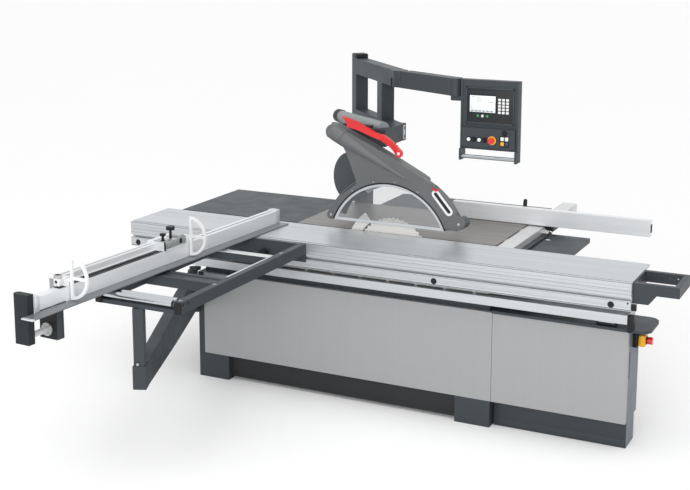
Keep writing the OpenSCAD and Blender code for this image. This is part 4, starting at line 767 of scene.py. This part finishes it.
# Emergency stop on the cabinet: black base and yellow shell round the collar
box_low, box_high = corner("estop_housing", 0), corner("estop_housing", 1)
BASE_D = 24.6
bm = bmesh.new()
add_block(bm, (box_low.x, box_low.y - 4, box_low.z - 4),
          (box_low.x + BASE_D, box_high.y + 4, box_high.z + 4), 3)
make("estop_base", bm, black_plastic, "machine")
bm = bmesh.new()
add_block(bm, (box_low.x + BASE_D, box_low.y + 2, box_low.z), (box_high.x, box_high.y - 2, box_high.z), 11)
make("estop_shell", bm, yellow_plastic, "machine")

# Crosscut fence: its own frame runs across it along X, and outwards along -Y from its pivot
out = joints["extension_slide"]["axis"]
fence_frame = level_frame("fence_mitre", (-out[1], out[0]))
FENCE_HALF = 28
FENCE_BASE_Z = 917
FENCE_TOP = 990
FENCE_END = -1460
FENCE_INNER = 385
CLAMP = (-720, -540)
CLAMP_FRONT = 34
CLAMP_TOP = 1035
bm = bmesh.new()
TAPE = (FENCE_END + 55, CLAMP[0] - 6)
for low, high in ((-27, -6.1), (6.1, 27)):
    add_block(bm, (low, TAPE[0], FENCE_TOP - 2), (high, TAPE[1], FENCE_TOP + 0.15), 0.05)
for low, high in ((-6.1, -5.85), (5.85, 6.1)):
    add_block(bm, (low, TAPE[0], FENCE_TOP - 7), (high, TAPE[1], FENCE_TOP + 0.1), 0.02)
make("fence_tape", bm, black_plastic, "crosscut_fence", fence_frame)
bm = bmesh.new()
add_block(bm, (CLAMP_FRONT, CLAMP[0] + 2, CLAMP_TOP - 36), (CLAMP_FRONT + 3, CLAMP[1] - 6, CLAMP_TOP + 2), 1)
for near, far in ((CLAMP[0] + 2, -650), (-610, CLAMP[1] - 6)):
    add_block(bm, (-44, near, CLAMP_TOP + 0.2), (CLAMP_FRONT + 2, far, CLAMP_TOP + 4), 1.2)
add_block(bm, (-30, -604, CLAMP_TOP + 3), (CLAMP_FRONT, -556, CLAMP_TOP + 12), 2.5)
make("clamp_bracket", bm, zinc, "crosscut_fence", fence_frame)
bm = bmesh.new()
add_turned(bm, [(11, 0), (11, 4), (7, 5), (7, 24), (15, 27), (17, 32), (17, 37), (14, 40), (0, 41)],
           (4, -700, CLAMP_TOP + 3), (0, 0, 1))
add_block(bm, (CLAMP_FRONT + 2, -602, CLAMP_TOP - 28), (CLAMP_FRONT + 4, -580, CLAMP_TOP - 2), 0.8)
add_block(bm, (CLAMP_FRONT - 6, CLAMP[0] - 2.5, FENCE_TOP + 1),
          (CLAMP_FRONT + 3, CLAMP[0] + 2, CLAMP_TOP + 2), 1)
make("clamp_small_knob", bm, black_plastic, "crosscut_fence", fence_frame)
bm = bmesh.new()
add_block(bm, (-18, FENCE_END - 34, FENCE_TOP - 4), (18, FENCE_END - 0.5, FENCE_TOP - 0.2), 1.2)
add_block(bm, (-FENCE_HALF + 1, FENCE_END - 3, FENCE_TOP - 4),
          (FENCE_HALF - 1, FENCE_END - 0.2, FENCE_TOP - 0.5), 1)
make("fence_end_catch", bm, black_plastic, "crosscut_fence", fence_frame)
bm = bmesh.new()
add_block(bm, (-FENCE_HALF - 1, FENCE_INNER - 42, FENCE_BASE_Z + 2),
          (FENCE_HALF + 1, FENCE_INNER + 0.4, FENCE_TOP + 5), 2)
add_block(bm, (-10, FENCE_INNER - 34, FENCE_TOP + 3), (10, FENCE_INNER - 8, FENCE_TOP + 9), 2)
make("fence_inner_cap", bm, rail_alu, "crosscut_fence", fence_frame)
TUBE = (-30, 796)
TUBE_HOLE = 16.5
BEARING_X = (-76, 30)
BEARING_Y = (-1533, -1491)
BEARING_Z = (751, 910.6)
FLANGE_R = 33


def round_frame(x, z, centre, radius, steps=40):
    """A rectangle and a hole in it, as two loops with as many points."""
    outer, hole = [], []
    for i in range(steps):
        a = 2 * math.pi * (i + 0.5) / steps
        c, s = math.cos(a), math.sin(a)
        reach = min(((x[1] if c > 0 else x[0]) - centre[0]) / c, ((z[1] if s > 0 else z[0]) - centre[1]) / s)
        outer.append((centre[0] + reach * c, centre[1] + reach * s))
        hole.append((centre[0] + radius * c, centre[1] + radius * s))
    return outer, hole


outer_face = (BEARING_Y[0] - 1.5, BEARING_Y[0] - 0.1)
inner_face = (BEARING_Y[1] + 0.1, BEARING_Y[1] + 1.5)
bm = bmesh.new()
for hole, y in ((FLANGE_R, outer_face), (TUBE_HOLE, inner_face)):
    add_ring(bm, *round_frame(BEARING_X, BEARING_Z, TUBE, hole), y)
make("bearing_faces", bm, black_plastic, "crosscut_fence", fence_frame)
bm = bmesh.new()
for x in ((BEARING_X[0] - 1.5, BEARING_X[0]), (BEARING_X[1], BEARING_X[1] + 1.5)):
    add_block(bm, (x[0], outer_face[0], BEARING_Z[0] - 1), (x[1], inner_face[1], BEARING_Z[1]), 0.6)
add_block(bm, (BEARING_X[0], outer_face[0], BEARING_Z[0] - 1.5),
          (BEARING_X[1], inner_face[1], BEARING_Z[0]), 0.6)
make("bearing_sides", bm, dark_paint, "crosscut_fence", fence_frame)
bm = bmesh.new()
add_turned(bm, [(32, 7.5), (32, 10), (30.5, 11.5), (22, 11.5), (20, 15), (TUBE_HOLE, 15), (TUBE_HOLE, 7.5)],
           (TUBE[0], BEARING_Y[0], TUBE[1]), (0, -1, 0), 40, True)
for turn in range(4):
    a = math.radians(45 + 90 * turn)
    place = (TUBE[0] + 27 * math.cos(a), BEARING_Y[0] - 11, TUBE[1] + 27 * math.sin(a))
    add_screw(bm, place, (0, -1, 0), 4, 4)
make("tube_flange", bm, zinc, "crosscut_fence", fence_frame)
BASE_END = -1755
bm = bmesh.new()
add_block(bm, (23.6, BASE_END - 2, FENCE_BASE_Z - 6.6), (93, BASE_END + 16, FENCE_BASE_Z + 0.8), 2.4)
make("base_end_strip", bm, rail_alu, "crosscut_fence", fence_frame)
EXTENSION_END = -1672
bm = bmesh.new()
for x in ((-29, -23.7), (23.7, 29)):
    add_block(bm, (x[0], EXTENSION_END + 0.5, FENCE_BASE_Z + 1.5), (x[1], EXTENSION_END + 31, FENCE_TOP), 1.5)
add_block(bm, (-29, EXTENSION_END + 0.5, FENCE_TOP - 4.3), (29, EXTENSION_END + 31, FENCE_TOP + 3), 1.5)
make("extension_end_plate", bm, rail_alu, "fence_extension", fence_frame)

# Flip stops: low block behind each flag with a screw, and on the outer one a block that reaches over the rail
STOP_HALF = 26
STOP_BLOCK_TOP = FENCE_TOP + 35
OVER_RAIL_TOP = FENCE_TOP + 54
for name, place, reach in (("inner", -506, 0), ("outer", -1434, 26)):
    front = place - STOP_HALF - reach
    bm = bmesh.new()
    add_block(bm, (-27.5, place - STOP_HALF, FENCE_TOP + 0.6), (6, place + STOP_HALF, STOP_BLOCK_TOP), 2.5)
    if reach:
        add_block(bm, (-27.5, front, FENCE_TOP + 0.6), (6, place - STOP_HALF - 1, OVER_RAIL_TOP), 2.5)
        add_block(bm, (-60, front, OVER_RAIL_TOP - 20), (6, place - STOP_HALF - 1, OVER_RAIL_TOP), 2.5)
    make(f"stop_block_{name}", bm, white_plastic, f"stop_slide_{name}", fence_frame)
    bm = bmesh.new()
    add_turned(bm, [(8, 0), (8, 0.8), (6, 1.2), (0, 1.2)], (-11, front, FENCE_TOP + 22), (0, -1, 0), 24)
    make(f"stop_screw_{name}", bm, black_plastic, f"stop_slide_{name}", fence_frame)

# Outrigger: bright strips, the one along the right tube's inner top edge also a painted highlight, ribs on
# the wide bar, end caps and bolts
rig_low, rig_high = corner("outrigger_frame", 0), corner("outrigger_frame", 1)
TUBE_W = 39
RIG_TOP = 905
RIG_IN = (rig_low.x + TUBE_W, rig_high.x - TUBE_W)
BAR_A = (-720, -680)
BAR_B = (-1300, -1180)
BAR_TOP = RIG_TOP - 10
bm = bmesh.new()
# Bright strip along the right tube's inner top edge: a metal strip and a painted highlight along that edge
add_block(bm, (RIG_IN[1] - 6, BAR_B[1] + 4, RIG_TOP - 10), (RIG_IN[1] + 5, BAR_A[0] - 4, RIG_TOP + 0.8), 1)
add_block(bm, (RIG_IN[0] + 1, BAR_A[0] - 2, BAR_TOP - 3), (RIG_IN[1] - 1, BAR_A[1] + 2, BAR_TOP + 3), 1.2)
make("outrigger_strips_and_highlight", bm, rail_alu, "outrigger")
bm = bmesh.new()
for near, far in ((BAR_B[0] + 2, BAR_B[0] + 34), (BAR_B[1] - 34, BAR_B[1] - 2)):
    add_block(bm, (RIG_IN[0] + 1, near, BAR_TOP - 4), (RIG_IN[1] - 1, far, BAR_TOP + 4), 2)
make("outrigger_ribs", bm, dark_paint, "outrigger")
bm = bmesh.new()
for x in (rig_low.x, RIG_IN[1]):
    add_block(bm, (x - 0.6, rig_low.y - 5, RIG_TOP - 60.6),
              (x + TUBE_W + 0.6, rig_low.y + 8, RIG_TOP + 0.6), 4)
make("outrigger_caps", bm, black_plastic, "outrigger")
bm = bmesh.new()
bolt_x = RIG_IN[1] + 20
for x, y in ((bolt_x, rig_low.y + 22), (bolt_x, BAR_B[0] - 24), (bolt_x, BAR_A[1] + 24),
             (rig_low.x + 20, rig_low.y + 22)):
    add_turned(bm, [(11, 0), (11, 1.5), (9, 2), (9, 3.5), (7, 4.6), (0, 5)], (x, y, RIG_TOP), (0, 0, 1), 24)
make("outrigger_bolts", bm, chrome, "outrigger")

# Load rollers: black collar round the infeed end of each
COLLAR_L = 14
COLLAR_GAP = 4
COLLAR_PROUD = 0.5
for name in ("outer", "inner"):
    roller_low, roller_high = corner(f"load_roller_{name}", 0), corner(f"load_roller_{name}", 1)
    radius = (roller_high.z - roller_low.z) / 2
    middle = (roller_low + roller_high) / 2
    place = (RIG_IN[1] - COLLAR_GAP - COLLAR_L, middle.y, middle.z)
    bm = bmesh.new()
    add_turned(bm, [
        (radius - 1, 0), (radius + COLLAR_PROUD, 0.4), (radius + COLLAR_PROUD, COLLAR_L - 1.6),
        (radius - 1, COLLAR_L - 0.6),
    ], place, (1, 0, 0), 40, True)
    make(f"roller_collar_{name}", bm, black_plastic, f"load_roller_{name}")

# Gantry: black cap on the rear post, bright plate with two screws at the cross arm's far end, a painted
# highlight on the arm's end
GANTRY_RUN = (507, -520)
gantry_frame_at = level_frame("panel_arm_swing", GANTRY_RUN)
POST_BACK = 726.3
POST_HALF = 40
POST_TOP = 1846
CROSS_X = 115
bm = bmesh.new()
add_block(bm, (-POST_BACK - POST_HALF - 0.6, -POST_HALF - 0.6, POST_TOP - 26),
          (-POST_BACK + POST_HALF + 0.6, POST_HALF + 0.6, POST_TOP + 5), 5)
make("post_cap", bm, black_plastic, "machine", gantry_frame_at)
# Bright plate: painted highlight near the cross arm's far end
HIGHLIGHT_PLATE_Y = (296, 322)
HIGHLIGHT_PLATE_Z = (1408, 1490)
bm = bmesh.new()
add_block(bm, (CROSS_X - 1, HIGHLIGHT_PLATE_Y[0], HIGHLIGHT_PLATE_Z[0]), (CROSS_X + 3, HIGHLIGHT_PLATE_Y[1], HIGHLIGHT_PLATE_Z[1]), 1)
make("cross_arm_highlight_plate", bm, rim_grey, "machine")
bm = bmesh.new()
for z in (1424, 1474):
    add_turned(bm, [(7, 0), (7, 1.5), (5.5, 2.4), (0, 2.4)], (CROSS_X + 3, 313, z), (1, 0, 0), 24)
make("cross_arm_screws", bm, black_plastic, "machine")

# Suction pipe: black cap over its left end
PIPE_FROM = (-377, 434, 1500)
PIPE_DIRECTION = (454, -329, 0)
bm = bmesh.new()
add_turned(bm, [(0, -8), (24, -7), (36, -3), (40, 3), (40, 46), (38.4, 46), (38.4, -0.5), (0, -0.5)],
           PIPE_FROM, PIPE_DIRECTION, 40)
make("pipe_cap", bm, soft_black, "machine")

# Saw blade: plate with hooked teeth, and a gullet slot at every sixth one
blade_low, blade_high = corner("saw_blade", 0), corner("saw_blade", 1)
ARBOR = (185, 780)
BLADE_R = 224.5
TEETH = 48
GULLET = 9
SLOT_R = 178
SLOT_EVERY = 6
blade_outline = []
for i in range(TEETH):
    slot = [(SLOT_R, 0.5), (SLOT_R, 0.56)] if i % SLOT_EVERY == 0 else []
    tooth = [(BLADE_R, 0.0), (BLADE_R - 2, 0.22), (BLADE_R - GULLET, 0.5), *slot, (BLADE_R - GULLET, 0.56),
             (BLADE_R - GULLET + 1, 0.85)]
    for r, share in tooth:
        a = -2 * math.pi * (i + share) / TEETH
        blade_outline.append((ARBOR[0] + r * math.cos(a), ARBOR[1] + r * math.sin(a)))
bm = bmesh.new()
add_outline(bm, blade_outline, (blade_low.y + 0.2, blade_high.y - 0.2), 0)
blade = make("blade_plate", bm, blade_steel, "saw_arbor")
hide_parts("saw_blade")

# Rip fence lever: round grip on a bright stem
rip_lever_low, rip_lever_high = corner("rip_lever", 0), corner("rip_lever", 1)
_, lever_y, lever_z = (c / MM for c in joints["rip_lever_turn"]["pos_m"])
LEVER_LEAN = math.radians(12)
lean = Vector((0, math.sin(LEVER_LEAN), math.cos(LEVER_LEAN)))
lever_mid = (rip_lever_low.x + rip_lever_high.x) / 2
lever_root = (lever_mid, lever_y, lever_z)
bm = bmesh.new()
add_turned(bm, [(5, 34), (11, 35), (12, 40), (12.2, 70), (11, 88), (8, 93), (0, 95)], lever_root, lean, 28)
add_turned(bm, [(13.5, 0.5), (13.5, 23), (12, 24.5), (7, 24.5), (7, 0.5)],
           (rip_lever_low.x, lever_y, lever_z), (1, 0, 0), 28, True)
rip_grip = make("rip_lever_grip", bm, black_plastic, "rip_lever")
bm = bmesh.new()
add_turned(bm, [(6, 10), (6, 34), (5, 36), (0, 36)], lever_root, lean, 24)
make("rip_lever_stem", bm, chrome, "rip_lever")
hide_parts("rip_lever")

# Rip fence: dark plug in its right end
rip_low, rip_high = corner("rip_fence", 0), corner("rip_fence", 1)
bm = bmesh.new()
add_block(bm, (rip_high.x - 2, rip_low.y + 12, rip_low.z + 22),
          (rip_high.x + 4, rip_high.y - 8, rip_high.z - 26), 2)
make("rip_fence_plug", bm, black_plastic, "rip_fence")

# Rip rail: dark rod along its outer side, held at both ends
ROD = (946, 876)
ROD_R = 5.5
ROD_Y = (16, 1136)
rod_l = ROD_Y[1] - ROD_Y[0]
rail_high = corner("rip_rail", 1)
bm = bmesh.new()
add_turned(bm, [(0, 0), (ROD_R - 1, 0), (ROD_R, 1), (ROD_R, rod_l - 1), (ROD_R - 1, rod_l), (0, rod_l)],
           (ROD[0], ROD_Y[0], ROD[1]), (0, 1, 0), 24)
for y in (ROD_Y[0] - 4, ROD_Y[1] - 8):
    add_block(bm, (rail_high.x + 0.2, y, ROD[1] - 8), (ROD[0] + 8, y + 12, ROD[1] + 6.5), 2)
make("rail_rod", bm, black_plastic, "machine")

# Rip carrier: clamp piece over the rod, with a bright ring round it
CATCH_X = (920, 958)
CATCH_Y = (566, 660)
CATCH_TOP = 911.4
bm = bmesh.new()
add_block(bm, (CATCH_X[0], CATCH_Y[0], ROD[1] + 8), (CATCH_X[1], CATCH_Y[1], CATCH_TOP), 2)
make("carrier_clamp", bm, black_plastic, "rip_carrier")
bm = bmesh.new()
add_turned(bm, [(8, 0), (10.5, 1), (11, 3), (11, 11), (10.5, 13), (8, 14), (ROD_R + 1, 14), (ROD_R + 1, 0)],
           (ROD[0], CATCH_Y[0] - 0.2, ROD[1]), (0, -1, 0), 32, True)
make("carrier_ring", bm, chrome, "rip_carrier")

# Support post: bolt above its foot block
post_frame = level_frame("swing_arm_turn", joints["support_post_slide"]["axis"])
POST_BOLT = (1388, -6, 566)
bm = bmesh.new()
add_turned(bm, [(9, 0), (9, 4), (7, 7), (0, 7.5)], POST_BOLT, (1, 0, 0), 24)
make("post_bolt", bm, chrome, "support_post", post_frame)

# Camera: the photograph's lens and place, tilted down instead of shifted for most of its framing
IMAGE_W = 690
FOCAL_PX = 1252.8
SENSOR = 36.0
CAMERA_PLACE = (3.0243, -6.3710, 2.6312)
CAMERA_AZIMUTH = 26.259
CAMERA_PITCH = 10.288
CAMERA_SHIFT = -0.13
lens = bpy.data.cameras.new("camera")
lens.sensor_width = SENSOR
lens.lens = FOCAL_PX * SENSOR / IMAGE_W
lens.shift_y = CAMERA_SHIFT
lens.clip_end = 200
camera = bpy.data.objects.new("camera", lens)
camera.location = CAMERA_PLACE
camera.rotation_euler = (math.radians(90 - CAMERA_PITCH), 0, math.radians(CAMERA_AZIMUTH))
bpy.context.scene.collection.objects.link(camera)
bpy.context.scene.camera = camera


# Studio: pale floor, white surroundings and soft lamps

def white_to_eye(tree, lit, glow, out):
    """Shows a white surround to the eye, to metal and to glass, and a plain light level to the rest."""
    path = tree.nodes.new("ShaderNodeLightPath")
    seen = None
    for ray in ("Is Camera Ray", "Is Glossy Ray", "Is Transmission Ray"):
        if seen is None:
            seen = path.outputs[ray]
            continue
        either = tree.nodes.new("ShaderNodeMath")
        either.operation = "MAXIMUM"
        tree.links.new(seen, either.inputs[0])
        tree.links.new(path.outputs[ray], either.inputs[1])
        seen = either.outputs[0]
    mix = tree.nodes.new("ShaderNodeMixShader")
    tree.links.new(seen, mix.inputs[0])
    tree.links.new(lit, mix.inputs[1])
    tree.links.new(glow, mix.inputs[2])
    tree.links.new(mix.outputs[0], out)


WORLD_LEVEL = 0.6
world = bpy.data.worlds.new("studio")
world.use_nodes = True
bpy.context.scene.world = world
tree = world.node_tree
level = tree.nodes["Background"]
level.inputs["Color"].default_value = (1.0, 1.0, 1.0, 1.0)
level.inputs["Strength"].default_value = WORLD_LEVEL
white = tree.nodes.new("ShaderNodeBackground")
white.inputs["Color"].default_value = (1.0, 1.0, 1.0, 1.0)
white_to_eye(tree, level.outputs[0], white.outputs[0], tree.nodes["World Output"].inputs["Surface"])

FLOOR_HALF = 40.0
FLOOR_LIFT = 0.07
floor_mesh = bpy.data.meshes.new("floor")
floor_corners = [(x * FLOOR_HALF, y * FLOOR_HALF, 0) for x, y in ((-1, -1), (1, -1), (1, 1), (-1, 1))]
floor_mesh.from_pydata(floor_corners, [], [(0, 1, 2, 3)])
floor_mat, floor_tree, floor_shader = start("floor", 0.9)
floor_shader.inputs["Specular IOR Level"].default_value = 0.1
floor_tone = remap(floor_tree, noise(floor_tree, 0.6), 0.995, 1.0)
floor_tree.links.new(shade(floor_tree, FLOOR, floor_tone), floor_shader.inputs["Base Color"])
floor_path = floor_tree.nodes.new("ShaderNodeLightPath")
floor_lift = floor_tree.nodes.new("ShaderNodeMath")
floor_lift.operation = "MULTIPLY"
floor_lift.inputs[1].default_value = FLOOR_LIFT
floor_tree.links.new(floor_path.outputs["Is Camera Ray"], floor_lift.inputs[0])
floor_tree.links.new(floor_lift.outputs[0], floor_shader.inputs["Emission Strength"])
floor_shader.inputs["Emission Color"].default_value = (1.0, 1.0, 1.0, 1.0)
floor_mesh.materials.append(floor_mat)
floor = bpy.data.objects.new("floor", floor_mesh)
bpy.context.scene.collection.objects.link(floor)


def softbox(name, place, target, size, energy):
    """A large soft lamp that looks at a point."""
    lamp = bpy.data.lights.new(name, "AREA")
    lamp.shape = "RECTANGLE"
    lamp.size, lamp.size_y = size
    lamp.energy = energy
    holder = bpy.data.objects.new(name, lamp)
    holder.location = place
    holder.rotation_euler = (Vector(target) - Vector(place)).to_track_quat("-Z", "Y").to_euler()
    bpy.context.scene.collection.objects.link(holder)


softbox("front_light", (2.0, -7.5, 3.2), (0.0, -0.4, 0.7), (5.0, 3.0), 195)
sun = bpy.data.lights.new("sky_panel", "SUN")
sun.energy = 1.12
sun.angle = math.radians(70)
sky = bpy.data.objects.new("sky_panel", sun)
sky.rotation_euler = (math.radians(14), math.radians(6), 0)
bpy.context.scene.collection.objects.link(sky)

bpy.context.scene.view_settings.view_transform = "Standard"
